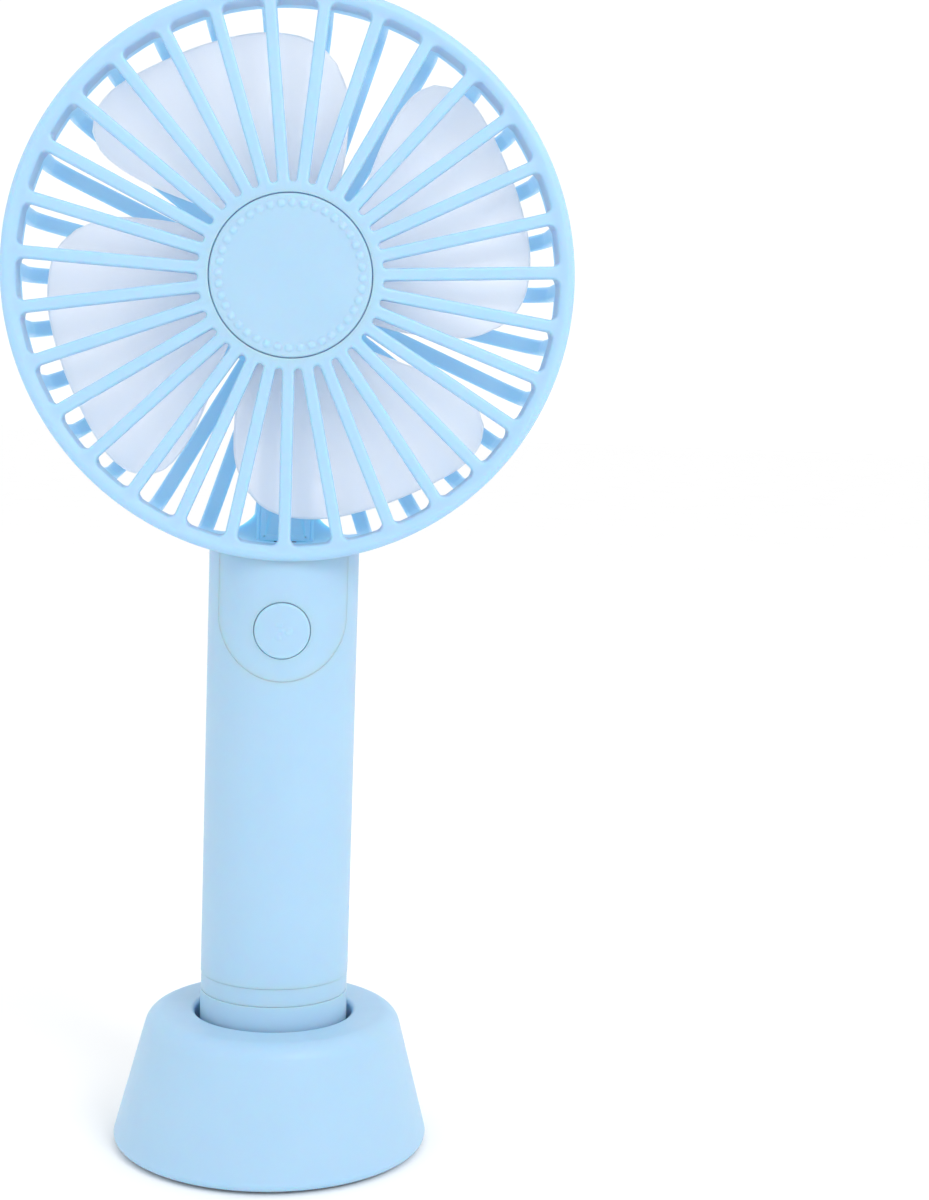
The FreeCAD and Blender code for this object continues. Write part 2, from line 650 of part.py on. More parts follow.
def motor_magnets():
    """Two arc magnets against the can."""
    back_y = CAN_BACK_Y - END_BELL_THICKNESS - MAGNET_BACK_GAP
    ring = tube_y(MAGNET_R, MAGNET_INNER_R, CAN_FRONT_Y + MAGNET_FRONT_GAP, back_y)
    spread = math.radians((180.0 - MAGNET_ARC) / 2)
    reach = FAR * math.tan(spread)
    magnets = ring
    for side in (-1, 1):
        points = [HEAD_CENTRE - Y_AXIS * FAR,
                  Vector(side * FAR, -FAR, HEAD_Z - reach),
                  Vector(side * FAR, -FAR, HEAD_Z + reach),
                  HEAD_CENTRE - Y_AXIS * FAR]
        magnets = magnets.cut(Part.Face(Part.makePolygon(points)).extrude(Y_AXIS * 2 * FAR))
    return magnets


def motor_bush(y0, y1):
    return tube_y(BUSH_R, BUSH_BORE_R, y0, y1)


def motor_brushes():
    """Two spring strips that press on the commutator."""
    front_y = CAN_BACK_Y - END_BELL_THICKNESS - 1.3
    strips = []
    for side in (-1, 1):
        x = side * BRUSH_X
        strips.append(box(x - BRUSH_HALF, x + BRUSH_HALF, front_y, front_y + BRUSH_WIDTH,
                          HEAD_Z - BRUSH_BELOW, HEAD_Z + BRUSH_ABOVE))
    return Part.makeCompound(strips)


def terminal_blank(side, grow, y0, y1):
    """Flat strip where a terminal goes through the lid."""
    half = TERMINAL_HALF_WIDTH + grow
    z = HEAD_Z - TERMINAL_DROP
    return box(side * TERMINAL_X - half, side * TERMINAL_X + half, y0, y1,
               z - TERMINAL_HALF_THICKNESS - grow, z + TERMINAL_HALF_THICKNESS + grow)


def motor_terminals():
    tabs = [terminal_blank(side, 0, CAN_BACK_Y - END_BELL_THICKNESS, CAN_BACK_Y + TERMINAL_REACH)
            for side in (-1, 1)]
    return Part.makeCompound(tabs)


def motor_shaft():
    return cylinder_y(SHAFT_R, SHAFT_FRONT_Y, CAN_BACK_Y + 0.5)


def rotor_core():
    """Three-pole laminated core."""
    core = cylinder_y(ROTOR_CORE_R, ROTOR_FRONT_Y, ROTOR_BACK_Y)
    rim = tube_y(ROTOR_R, ROTOR_R - ROTOR_RIM, ROTOR_FRONT_Y, ROTOR_BACK_Y)
    arm = box(-ROTOR_ARM_HALF, ROTOR_ARM_HALF, ROTOR_FRONT_Y, ROTOR_BACK_Y,
              HEAD_Z + ROTOR_CORE_R - 1, HEAD_Z + ROTOR_R - ROTOR_RIM / 2)
    gap = box(-ROTOR_GAP_HALF, ROTOR_GAP_HALF, ROTOR_FRONT_Y - 1, ROTOR_BACK_Y + 1,
              HEAD_Z - ROTOR_R - 1, HEAD_Z - ROTOR_R / 2)
    pitch = 360.0 / ROTOR_POLES
    for index in range(ROTOR_POLES):
        core = core.fuse(around_head(arm, index * pitch))
        rim = rim.cut(around_head(gap, index * pitch))
    return one_solid(core.fuse(rim).cut(cylinder_y(SHAFT_R, -FAR, FAR)))


def rotor_windings():
    """Three copper coils, one round each arm."""
    inner_z = HEAD_Z + ROTOR_CORE_R + 2 * GAP
    outer_z = HEAD_Z + ROTOR_R - ROTOR_RIM - 2 * GAP
    block = box(-COIL_HALF_WIDTH, COIL_HALF_WIDTH, ROTOR_FRONT_Y - COIL_OVERHANG,
                ROTOR_BACK_Y + COIL_OVERHANG, inner_z, outer_z)
    room = box(-ROTOR_ARM_HALF, ROTOR_ARM_HALF, ROTOR_FRONT_Y, ROTOR_BACK_Y, inner_z - 1, outer_z + 1)
    coil = block.cut(room).common(cylinder_y(ROTOR_R - ROTOR_RIM - GAP, -FAR, FAR))
    pitch = 360.0 / ROTOR_POLES
    return Part.makeCompound([around_head(coil, index * pitch) for index in range(ROTOR_POLES)])


def commutator():
    back_y = CAN_BACK_Y - END_BELL_THICKNESS - 0.15
    drum = tube_y(COMMUTATOR_R, SHAFT_R, ROTOR_BACK_Y + COIL_OVERHANG + 0.3, back_y)
    half = COMMUTATOR_SLIT / 2
    slit = box(-half, half, 0, FAR, HEAD_Z + SHAFT_R + 0.5, HEAD_Z + COMMUTATOR_R + 1)
    pitch = 360.0 / ROTOR_POLES
    for index in range(ROTOR_POLES):
        drum = drum.cut(around_head(slit, (index + 0.5) * pitch))
    return one_solid(drum)


def motor_screws():
    """Two screws through the cup's floor into the motor's face."""
    length = CUP_FLOOR + CAN_WALL
    screws = []
    for side in (-1, 1):
        tip = Vector(side * MOTOR_SCREW_CIRCLE_R, CUP_FRONT_Y + length, HEAD_Z)
        screws.append(screw(tip, -Y_AXIS, length))
    return Part.makeCompound(screws)


# ---- Handle ---------------------------------------------------------------------------------

def panel_outline(grow):
    """U-shaped prism through the front of the handle."""
    half = PANEL_HALF_WIDTH + grow
    straight = box(-half, half, -FAR, PANEL_BACK_Y + grow, PANEL_ARC_Z, HEAD_Z)
    foot = cylinder_y(half, -FAR, PANEL_BACK_Y + grow, z=PANEL_ARC_Z)
    return straight.fuse(foot)


def handle_tube():
    """Straight round tube whose top is cut to the head, with ribs inside for the cell."""
    tube = tube_z(HANDLE_R, HANDLE_INNER_R, TUBE_Z0, TUBE_TOP_Z)
    cell_top = CELL_Z0 + CELL_LENGTH
    rib = box(RIB_INNER_R, HANDLE_INNER_R + 0.5, -INNER_RIB_WIDTH / 2, INNER_RIB_WIDTH / 2,
              SPIGOT_TOP_Z + 0.3, cell_top - 1.0)
    tube = tube.fuse([around_handle(rib, 45.0 + 90.0 * index) for index in range(4)])
    tube = tube.cut(head_envelope(HEAD_CLEARANCE)).cut(panel_outline(GAP))
    usb_room = box(-USB_HALF_HEIGHT - 0.7, USB_HALF_HEIGHT + 0.7, BOARD_REAR_Y, FAR,
                   USB_Z - USB_HALF_WIDTH - 0.7, USB_Z + USB_HALF_WIDTH + 0.7)
    corner_round = 1.2
    upright = [edge for edge in usb_room.Edges if abs(edge.Vertexes[0].Y - edge.Vertexes[-1].Y) > 1]
    usb_room = usb_room.makeFillet(corner_round, upright)
    tube = tube.cut(usb_room)
    tube = tube.cut(cylinder_y(LENS_R + 0.05, 5, FAR, z=LIGHT_Z))
    tube = tube.cut(cylinder_y(SCREW_HOLE_R, 5, FAR, z=HANDLE_SCREW_Z))
    tube = tube.cut(cylinder_y(SCREW_HEAD_R + 0.2, HANDLE_R - 1.2, FAR, z=HANDLE_SCREW_Z))
    return one_solid(tube)


def button_panel():
    wall = tube_z(HANDLE_R, HANDLE_INNER_R, PANEL_ARC_Z - FAR, HEAD_Z)
    panel = wall.common(panel_outline(0)).cut(head_envelope(HEAD_CLEARANCE))
    return one_solid(panel.cut(cylinder_y(BUTTON_HOLE_R, -FAR, 0, z=BUTTON_Z)))


def power_button():
    """Round button crowned like the handle, with a flange behind the panel and a stem."""
    body = cylinder_y(BUTTON_R, -FAR, BUTTON_FLANGE_Y + 0.4, z=BUTTON_Z)
    body = body.common(cylinder_z(HANDLE_R + BUTTON_PROUD, 0, HEAD_Z))
    front = [edge for edge in body.Edges if edge.BoundBox.YMax < -HANDLE_R + 2.5]
    body = body.makeFillet(0.4, front)
    flange_back_y = BUTTON_FLANGE_Y + BUTTON_FLANGE_THICKNESS
    flange = cylinder_y(BUTTON_FLANGE_R, BUTTON_FLANGE_Y, flange_back_y, z=BUTTON_Z)
    stem = cylinder_y(BUTTON_STEM_R, BUTTON_FLANGE_Y, PLUNGER_TIP_Y, z=BUTTON_Z)
    return one_solid(body.fuse([flange, stem]))


def end_ring():
    """Slim trim ring between the tube and the end cap."""
    return turned_z((INSERT_R + GAP, RING_Z0 + GAP / 2, 0),
                    (TRIM_RING_R, RING_Z0 + GAP / 2, 0.3),
                    (TRIM_RING_R, TUBE_Z0 - GAP / 2, 0.3),
                    (INSERT_R + GAP, TUBE_Z0 - GAP / 2, 0))


def end_cap():
    floor_z = END_CAP_Z0 + END_CAP_WALL
    return turned_z((0, END_CAP_Z0, 0),
                    (HANDLE_R, END_CAP_Z0, 1.6),
                    (HANDLE_R, RING_Z0, 0.3),
                    (INSERT_R, RING_Z0, 0),
                    (INSERT_R, SPIGOT_TOP_Z, 0.4),
                    (INSERT_R - INSERT_WALL, SPIGOT_TOP_Z, 0),
                    (INSERT_R - INSERT_WALL, floor_z, 0),
                    (0, floor_z, 0))


def battery_foam():
    return cylinder_z(CELL_R - 0.6, END_CAP_Z0 + END_CAP_WALL, CELL_Z0 - TAB_THICKNESS)


def battery_cell():
    return turned_z((0, CELL_Z0, 0),
                    (CELL_R, CELL_Z0, 0.5),
                    (CELL_R, CELL_Z0 + CELL_LENGTH, 0.7),
                    (0, CELL_Z0 + CELL_LENGTH, 0))


def battery_sleeve():
    """Shrink sleeve round the cell's side."""
    return tube_z(CELL_R + SLEEVE_THICKNESS, CELL_R, CELL_Z0 + 0.6, CELL_Z0 + CELL_LENGTH - 0.8)


def battery_insulator():
    top = CELL_Z0 + CELL_LENGTH
    return tube_z(CELL_R - 0.9, TERMINAL_R + 0.3, top, top + 0.3)


def battery_positive_cap():
    top = CELL_Z0 + CELL_LENGTH
    return cylinder_z(TERMINAL_R, top, top + TERMINAL_HEIGHT)


def battery_tab_positive():
    """Nickel strip on the cap, turned up at the side of the board."""
    z0 = CELL_Z0 + CELL_LENGTH + TERMINAL_HEIGHT
    flat = box(-TAB_HALF_WIDTH, TAB_HALF_WIDTH, -TERMINAL_R, TAB_BACK_Y, z0, z0 + TAB_THICKNESS)
    rise = box(-TAB_HALF_WIDTH, TAB_HALF_WIDTH, TAB_BACK_Y - TAB_THICKNESS, TAB_BACK_Y, z0, z0 + 2.4)
    return one_solid(flat.fuse(rise))


def battery_tab_negative():
    """Nickel strip under the cell, turned up beside it at the front."""
    side_y = -(CELL_R + SLEEVE_THICKNESS + 0.15)
    z0 = CELL_Z0 - TAB_THICKNESS
    flat = box(-TAB_HALF_WIDTH, TAB_HALF_WIDTH, side_y, 4.0, z0, CELL_Z0)
    rise = box(-TAB_HALF_WIDTH, TAB_HALF_WIDTH, side_y - TAB_THICKNESS, side_y, z0, z0 + 5.0)
    return one_solid(flat.fuse(rise))


# ---- Electronics ----------------------------------------------------------------------------

def circuit_board():
    board = box(BOARD_X - BOARD_THICKNESS, BOARD_X, BOARD_FRONT_Y, BOARD_REAR_Y, BOARD_Z0, BOARD_Z1)
    for y, z in BOARD_SCREWS_YZ:
        board = board.cut(cylinder_x(SCREW_HOLE_R, -FAR, FAR, y, z))
    return one_solid(board)


def board_carrier():
    """D-shaped cradle beside the board, with two screw posts."""
    back_x = BOARD_X - BOARD_THICKNESS
    web_x = back_x - POST_LENGTH
    zone = box(-FAR, web_x, CARRIER_FRONT_Y, FAR, BOARD_Z0 - 1, BOARD_Z1 + 0.4)
    shell = tube_z(INSERT_R, INSERT_R - INSERT_WALL, 0, HEAD_Z).common(zone)
    web = box(web_x - INSERT_WALL, web_x, CARRIER_FRONT_Y, FAR, BOARD_Z0 - 1, BOARD_Z1 + 0.4)
    web = web.common(cylinder_z(INSERT_R, 0, HEAD_Z))
    carrier = shell.fuse(web)
    for y, z in BOARD_SCREWS_YZ:
        carrier = carrier.fuse(cylinder_x(SCREW_HEAD_R, web_x - 0.2, back_x, y, z))
        carrier = carrier.cut(cylinder_x(SCREW_R, web_x - 1.2, back_x + 1, y, z))
    return one_solid(carrier)


def board_screws():
    length = BOARD_THICKNESS + POST_LENGTH
    screws = [screw(Vector(BOARD_X - length, y, z), X_AXIS, length) for y, z in BOARD_SCREWS_YZ]
    return Part.makeCompound(screws)


def chip(y0, up):
    """Small chip on the board, up being its height above the board's lower edge, with its legs."""
    width, length = 3.8, 4.8
    y1, z0 = y0 + width, BOARD_Z0 + up
    body = box(BOARD_X + 0.15, BOARD_X + CHIP_HEIGHT, y0, y1, z0, z0 + length)
    legs = []
    for index in range(CHIP_LEGS):
        z = z0 + (index + 0.5) * length / CHIP_LEGS
        legs.append(box(BOARD_X, BOARD_X + LEG_HEIGHT, y0 - LEG_REACH, y1 + LEG_REACH,
                        z - LEG_HALF_WIDTH, z + LEG_HALF_WIDTH))
    return one_solid(body.fuse(legs))


def control_chip():
    return chip(-1.8, 11.6)


def charge_chip():
    return chip(-0.8, 3.0)


def board_passives():
    """Resistors and capacitors on the board."""
    places = ((-6.4, 7.2), (-6.4, 19.0), (4.2, 12.2), (4.2, 14.4), (4.4, 1.6), (-3.6, 9.2), (8.2, 2.2))
    width, length, height = 1.0, 1.6, 0.6
    blocks = []
    for y, up in places:
        z = BOARD_Z0 + up
        blocks.append(box(BOARD_X, BOARD_X + height, y, y + width, z, z + length))
    return Part.makeCompound(blocks)


def switch_housing():
    """Side-push switch on the board's front edge."""
    x0 = BOARD_X
    body = box(x0, x0 + SWITCH_WIDTH, SWITCH_FRONT_Y, SWITCH_FRONT_Y + SWITCH_DEPTH,
               BUTTON_Z - SWITCH_HALF_HEIGHT, BUTTON_Z + SWITCH_HALF_HEIGHT)
    room = cylinder_y(PLUNGER_R + 0.12, SWITCH_FRONT_Y - 1, SWITCH_FRONT_Y + PLUNGER_ROOM + 1.0, z=BUTTON_Z)
    return one_solid(body.cut(room))


def switch_plunger():
    return cylinder_y(PLUNGER_R, PLUNGER_TIP_Y, SWITCH_FRONT_Y + 1.0, z=BUTTON_Z)


def usb_socket_shell():
    """Folded metal shell of the micro-USB socket, mouth to the back."""
    y0 = USB_MOUTH_Y - USB_DEPTH

    def section(inset):
        half_w = USB_HALF_WIDTH - inset
        half_h = USB_HALF_HEIGHT - inset
        bevel, straight, corner = 1.0, 1.4, 0.3
        outline = ((half_h, -half_w), (half_h, half_w), (half_h - straight, half_w),
                   (-half_h, half_w - bevel), (-half_h, bevel - half_w), (half_h - straight, -half_w))
        return rounded_face([(Vector(x, y0, USB_Z + rise), corner) for x, rise in outline])

    outer = section(0).extrude(Y_AXIS * USB_DEPTH)
    inner = section(USB_WALL).extrude(Y_AXIS * USB_DEPTH)
    inner.translate(Y_AXIS * 0.8)
    return one_solid(outer.cut(inner))


def usb_socket_tongue():
    y0 = USB_MOUTH_Y - USB_DEPTH + 0.8
    return box(-0.1, 0.5, y0, USB_MOUTH_Y - 1.2, USB_Z - 2.0, USB_Z + 2.0)


def indicator_led():
    return box(BOARD_X, BOARD_X + 1.6, 8.6, 10.2, LIGHT_Z - 0.8, LIGHT_Z + 0.8)


def indicator_lens():
    """Clear pin through the back of the handle, in front of the charge light."""
    return one_solid(cylinder_y(LENS_R, 10.6, HANDLE_R + 0.05, z=LIGHT_Z))


def handle_screw():
    length = 5.2
    seat_y = HANDLE_R - 1.2
    return screw(Vector(0, seat_y - length, HANDLE_SCREW_Z), Y_AXIS, length)


# ---- Leads ----------------------------------------------------------------------------------

def motor_lead(name, side):
    """From a motor terminal, down the spine and the neck, to the top of the board."""
    x = side * LEAD_HALF_SPACING
    back_y = CAN_BACK_Y + 1.5
    board_y = 0.2 + side * 1.6
    route = [(Vector(side * 5.0, back_y, HEAD_Z - 7.9), 0),
             (Vector(side * 3.0, back_y, HEAD_Z - 10.8), 3.0),
             (Vector(x, back_y - 0.8, HEAD_Z - 16.4), 5.0),
             (Vector(x, 11.0, HEAD_Z - 32.0), 14.0),
             (Vector(x, 4.9, HEAD_Z - 43.5), 12.0),
             (Vector(x, 4.4, HEAD_Z - 52.5), 8.0),
             (Vector(x * 0.3, board_y + 0.6, BOARD_Z1 + 0.8), 3.0),
             (Vector(BOARD_X + LEAD_R + 0.02, board_y, BOARD_Z1 - 1.6), 0)]
    return lead(name, route)


def battery_lead_positive():
    top = CELL_Z0 + CELL_LENGTH + TERMINAL_HEIGHT
    y = TAB_BACK_Y + LEAD_R
    route = [(Vector(0.6, y, top + 0.6), 0),
             (Vector(0.6, y, top + 4.4), 3.0),
             (Vector(BOARD_X + LEAD_R + 0.02, y - 2.2, BOARD_Z0 + 0.4), 0)]
    return lead("battery_lead_positive", route)


def battery_lead_negative():
    side_y = -(CELL_R + SLEEVE_THICKNESS + 0.15 + TAB_THICKNESS + LEAD_R)
    top = CELL_Z0 + CELL_LENGTH
    route = [(Vector(0, side_y, CELL_Z0 + 1.0), 0),
             (Vector(0, side_y, top + 1.0), 5.0),
             (Vector(BOARD_X + LEAD_R + 0.02, -6.6, BOARD_Z0 - 0.6), 3.0),
             (Vector(BOARD_X + LEAD_R + 0.02, -6.6, BOARD_Z0 + 2.6), 0)]
    return lead("battery_lead_negative", route)


# ---- Dock -----------------------------------------------------------------------------------

def dock_boss_places():
    for index in range(DOCK_SCREW_COUNT):
        angle = math.radians(90.0 + 360.0 * index / DOCK_SCREW_COUNT)
        yield DOCK_BOSS_CIRCLE_R * math.cos(angle), DOCK_BOSS_CIRCLE_R * math.sin(angle)


def dock_shell():
    """Conical shell with a round blind socket hanging in it."""
    slope = (DOCK_R - DOCK_TOP_R) / (DOCK_HEIGHT - DOCK_Z0)
    top_inside = DOCK_HEIGHT - DOCK_WALL
    inner_top_r = DOCK_TOP_R - DOCK_WALL + slope * DOCK_WALL
    shell = turned_z((DOCK_R, DOCK_Z0, DOCK_FOOT_ROUND),
                     (DOCK_TOP_R, DOCK_HEIGHT, DOCK_TOP_ROUND),
                     (SOCKET_R, DOCK_HEIGHT, 0.9),
                     (SOCKET_R, SOCKET_FLOOR_Z, 0.5),
                     (0, SOCKET_FLOOR_Z, 0),
                     (0, SOCKET_FLOOR_Z - SOCKET_FLOOR, 0),
                     (SOCKET_R + SOCKET_WALL, SOCKET_FLOOR_Z - SOCKET_FLOOR, 0),
                     (SOCKET_R + SOCKET_WALL, top_inside, 0.8),
                     (inner_top_r, top_inside, 1.5),
                     (DOCK_R - DOCK_WALL, DOCK_Z0, 0))
    for x, y in dock_boss_places():
        shell = shell.fuse(cylinder_z(DOCK_BOSS_R, PLATE_Z0 + PLATE_THICKNESS, top_inside, x, y))
        shell = shell.cut(cylinder_z(SCREW_R, PLATE_Z0, DOCK_PILOT_TOP_Z, x, y))
    return one_solid(shell)


def dock_base_plate():
    plate = cylinder_z(PLATE_R, PLATE_Z0, PLATE_Z0 + PLATE_THICKNESS)
    for x, y in dock_boss_places():
        plate = plate.cut(cylinder_z(SCREW_HOLE_R, 0, DOCK_HEIGHT, x, y))
        plate = plate.cut(cylinder_z(SCREW_HEAD_R + 0.2, 0, PLATE_Z0 + SCREW_HEAD_HEIGHT, x, y))
    return one_solid(plate)


def dock_screws():
    length = 7.0
    seat_z = PLATE_Z0 + SCREW_HEAD_HEIGHT
    return Part.makeCompound([screw(Vector(x, y, seat_z + length), -Z_AXIS, length)
                              for x, y in dock_boss_places()])


def dock_foot_pad():
    return turned_z((0, 0, 0), (FOOT_R, 0, 0.3), (FOOT_R, PLATE_Z0, 0), (0, PLATE_Z0, 0))


def socket_pad():
    """Loose felt disc that the handle stands on."""
    return cylinder_z(FELT_R, FELT_Z0, FELT_Z0 + FELT_THICKNESS)


# ---- Assembly -------------------------------------------------------------------------------

def build_pieces():
    front_bush_back = CAN_FRONT_Y + CAN_WALL + 0.8
    return {
        "front_grille": front_grille(),
        "centre_cap": centre_cap(),
        "rear_grille": rear_grille(),
        "spine_cover": spine_cover(),
        "motor_cover": motor_cover(),
        "impeller": impeller(),
        "motor_can": motor_can(),
        "motor_end_bell": motor_end_bell(),
        "motor_magnets": motor_magnets(),
        "motor_front_bush": motor_bush(CUP_FRONT_Y + 0.1, front_bush_back),
        "motor_rear_bush": motor_bush(CAN_BACK_Y - END_BELL_THICKNESS, CAN_BACK_Y),
        "motor_brushes": motor_brushes(),
        "motor_terminals": motor_terminals(),
        "motor_shaft": motor_shaft(),
        "rotor_core": rotor_core(),
        "rotor_windings": rotor_windings(),
        "commutator": commutator(),
        "motor_screws": motor_screws(),
        "handle_tube": handle_tube(),
        "button_panel": button_panel(),
        "power_button": power_button(),
        "end_ring": end_ring(),
        "end_cap": end_cap(),
        "battery_foam": battery_foam(),
        "battery_cell": battery_cell(),
        "battery_sleeve": battery_sleeve(),
        "battery_insulator": battery_insulator(),
        "battery_positive_cap": battery_positive_cap(),
        "battery_tab_positive": battery_tab_positive(),
        "battery_tab_negative": battery_tab_negative(),
        "battery_lead_positive": battery_lead_positive(),
        "battery_lead_negative": battery_lead_negative(),
        "circuit_board": circuit_board(),
        "board_carrier": board_carrier(),
        "board_screws": board_screws(),
        "control_chip": control_chip(),
        "charge_chip": charge_chip(),
        "board_passives": board_passives(),
        "switch_housing": switch_housing(),
        "switch_plunger": switch_plunger(),
        "usb_socket_shell": usb_socket_shell(),
        "usb_socket_tongue": usb_socket_tongue(),
        "indicator_led": indicator_led(),
        "indicator_lens": indicator_lens(),
        "handle_screw": handle_screw(),
        "motor_lead_positive": motor_lead("motor_lead_positive", 1),
        "motor_lead_negative": motor_lead("motor_lead_negative", -1),
        "dock_shell": dock_shell(),
        "dock_base_plate": dock_base_plate(),
        "dock_screws": dock_screws(),
        "dock_foot_pad": dock_foot_pad(),
        "socket_pad": socket_pad(),
    }


def write_pieces():
    os.makedirs("parts", exist_ok=True)
    for name, shape in build_pieces().items():
        if not shape.isValid():
            raise ValueError(name + " is not a valid shape")
        shape.exportStep("parts/" + name + ".step")
        print(name, len(shape.Solids), "solid(s)", round(shape.Volume, 1), "mm3")


write_pieces()
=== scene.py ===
"""Looks of the handheld fan standing in its dock: camera, light, materials and finished meshes.

Lengths are in millimetres until a piece is made, which turns them into metres.
+Z is up and the fan blows towards -Y.
"""
import math

import bmesh
import bpy
from mathutils import Matrix, Vector


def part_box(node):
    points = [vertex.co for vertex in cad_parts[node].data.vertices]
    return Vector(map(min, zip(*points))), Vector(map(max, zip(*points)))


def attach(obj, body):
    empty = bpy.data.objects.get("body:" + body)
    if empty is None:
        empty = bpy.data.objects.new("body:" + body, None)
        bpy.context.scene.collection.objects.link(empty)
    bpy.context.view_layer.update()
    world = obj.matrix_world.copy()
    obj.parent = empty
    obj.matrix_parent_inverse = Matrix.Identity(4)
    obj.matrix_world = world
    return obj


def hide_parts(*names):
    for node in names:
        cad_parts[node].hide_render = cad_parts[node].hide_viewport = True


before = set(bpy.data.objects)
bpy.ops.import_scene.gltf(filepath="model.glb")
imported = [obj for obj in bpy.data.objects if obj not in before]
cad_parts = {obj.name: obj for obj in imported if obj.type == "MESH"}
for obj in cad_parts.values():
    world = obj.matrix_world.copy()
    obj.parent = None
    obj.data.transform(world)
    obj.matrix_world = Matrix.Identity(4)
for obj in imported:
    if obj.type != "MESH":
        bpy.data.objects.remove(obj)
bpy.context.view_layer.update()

MM = 0.001


# ---- Camera, floor and light ----

CAMERA_PLACE = (2.8, -363.0, 139.4)
CAMERA_YAW = 4.95  # degrees, towards +X
CAMERA_PITCH = -5.40
CAMERA_ROLL = 1.92
CAMERA_LENS = 57.8
CAMERA_SENSOR = 36.0
FLOOR_R = 12000.0
SKY_STRENGTH = 1.06
LIGHT_TARGET = (0, 0, 120)


def make_camera():
    yaw, pitch, roll = (math.radians(a) for a in (CAMERA_YAW, CAMERA_PITCH, CAMERA_ROLL))
    ahead = Vector((math.sin(yaw) * math.cos(pitch), math.cos(yaw) * math.cos(pitch), math.sin(pitch)))
    level = Vector((math.cos(yaw), -math.sin(yaw), 0))
    upright = level.cross(ahead)
    right = level * math.cos(roll) + upright * math.sin(roll)
    up = upright * math.cos(roll) - level * math.sin(roll)
    data = bpy.data.cameras.new("camera")
    data.lens = CAMERA_LENS
    data.sensor_width = CAMERA_SENSOR
    data.clip_start = 0.01
    camera = bpy.data.objects.new("camera", data)
    turn = Matrix((right, up, -ahead)).transposed().to_4x4()
    camera.matrix_world = Matrix.Translation(Vector(CAMERA_PLACE) * MM) @ turn
    bpy.context.scene.collection.objects.link(camera)
    bpy.context.scene.camera = camera


def make_floor():
    """Pale round sheet, wide enough to reach the horizon."""
    mesh = bpy.data.meshes.new("floor")
    shape = bmesh.new()
    bmesh.ops.create_circle(shape, cap_ends=True, segments=96, radius=FLOOR_R * MM)
    shape.to_mesh(mesh)
    shape.free()
    floor = bpy.data.objects.new("floor", mesh)
    floor.data.materials.append(paper("floor_paper"))
    bpy.context.scene.collection.objects.link(floor)


def area_light(name, place, size, power):
    """Round lamp that faces the middle of the fan; power is in watts."""
    data = bpy.data.lights.new(name, "AREA")
    data.shape = "DISK"
    data.size = size * MM
    data.energy = power
    light = bpy.data.objects.new(name, data)
    light.location = Vector(place) * MM
    light.rotation_euler = (Vector(LIGHT_TARGET) - Vector(place)).to_track_quat("-Z", "Y").to_euler()
    bpy.context.scene.collection.objects.link(light)


def make_light():
    world = bpy.data.worlds.new("studio")
    world.use_nodes = True
    background = world.node_tree.nodes["Background"]
    background.inputs["Color"].default_value = (1.0, 1.0, 1.0, 1)
    background.inputs["Strength"].default_value = SKY_STRENGTH
    bpy.context.scene.world = world
    area_light("key", (420, -640, 640), size=400, power=2.7)
    area_light("fill", (-500, -700, 200), size=500, power=0.45)
    bpy.context.scene.view_settings.view_transform = "Standard"


# ---- Materials ----

class Finish:
    """Material that is being made; its patterns lie in the piece's own coordinates."""

    def __init__(self, name):
        self.material = bpy.data.materials.new(name)
        self.material.use_nodes = True
        tree = self.material.node_tree
        self.new_node = tree.nodes.new
        self.link = tree.links.new
        self.inputs = tree.nodes["Principled BSDF"].inputs
        self.place = self.add("ShaderNodeTexCoord").outputs["Object"]

    def add(self, kind, **values):
        node = self.new_node(kind)
        for name, value in values.items():
            node.inputs[name].default_value = value
        return node

    def set(self, values):
        for name, value in values.items():
            self.inputs[name].default_value = value

    def noise(self, size, detail=2.0, roughness=0.5, place=None):
        """Noise whose cells are about size millimetres across."""
        node = self.add("ShaderNodeTexNoise", Scale=1.0 / (size * MM), Detail=detail, Roughness=roughness)
        self.link(self.place if place is None else place, node.inputs["Vector"])
        return node.outputs["Fac"]

    def blend(self, name, pattern, low, high, at=(0.3, 0.7)):
        """Runs one of the shader's inputs from low to high where the pattern does."""
        node = self.add("ShaderNodeValToRGB")
        for element, position, colour in zip(node.color_ramp.elements, at, (low, high)):
            element.position = position
            element.color = (*colour, 1)
        self.link(pattern, node.inputs["Fac"])
        self.link(node.outputs["Color"], self.inputs[name])

    def roughness(self, pattern, low, high):
        self.blend("Roughness", pattern, grey(low), grey(high))

    def emboss(self, pattern, strength, relief):
        """Bumps that follow the pattern, relief millimetres high."""
        bump = self.add("ShaderNodeBump", Strength=strength, Distance=relief * MM)
        self.link(pattern, bump.inputs["Height"])
        self.link(bump.outputs["Normal"], self.inputs["Normal"])


def grey(value):
    return (value, value, value)


def darker(colour, share):
    return [part * share for part in colour]


SHELL_REACH = (0.12, 0.6, 1.0)  # how far red, green and blue travel inside, of light_depth
# Colour of the painted glow: emission that stands in for light coming through thin plastic
PAINTED_GLOW_COLOUR = (0.24, 0.72, 1.0)
CLEAR_INDEX = 1.35  # of refraction
BLADE_LIGHT_DEPTH = 2.0
# Painted light: strength of the blades' emission, standing in for light that comes through them
BLADE_PAINTED_GLOW = 0.10


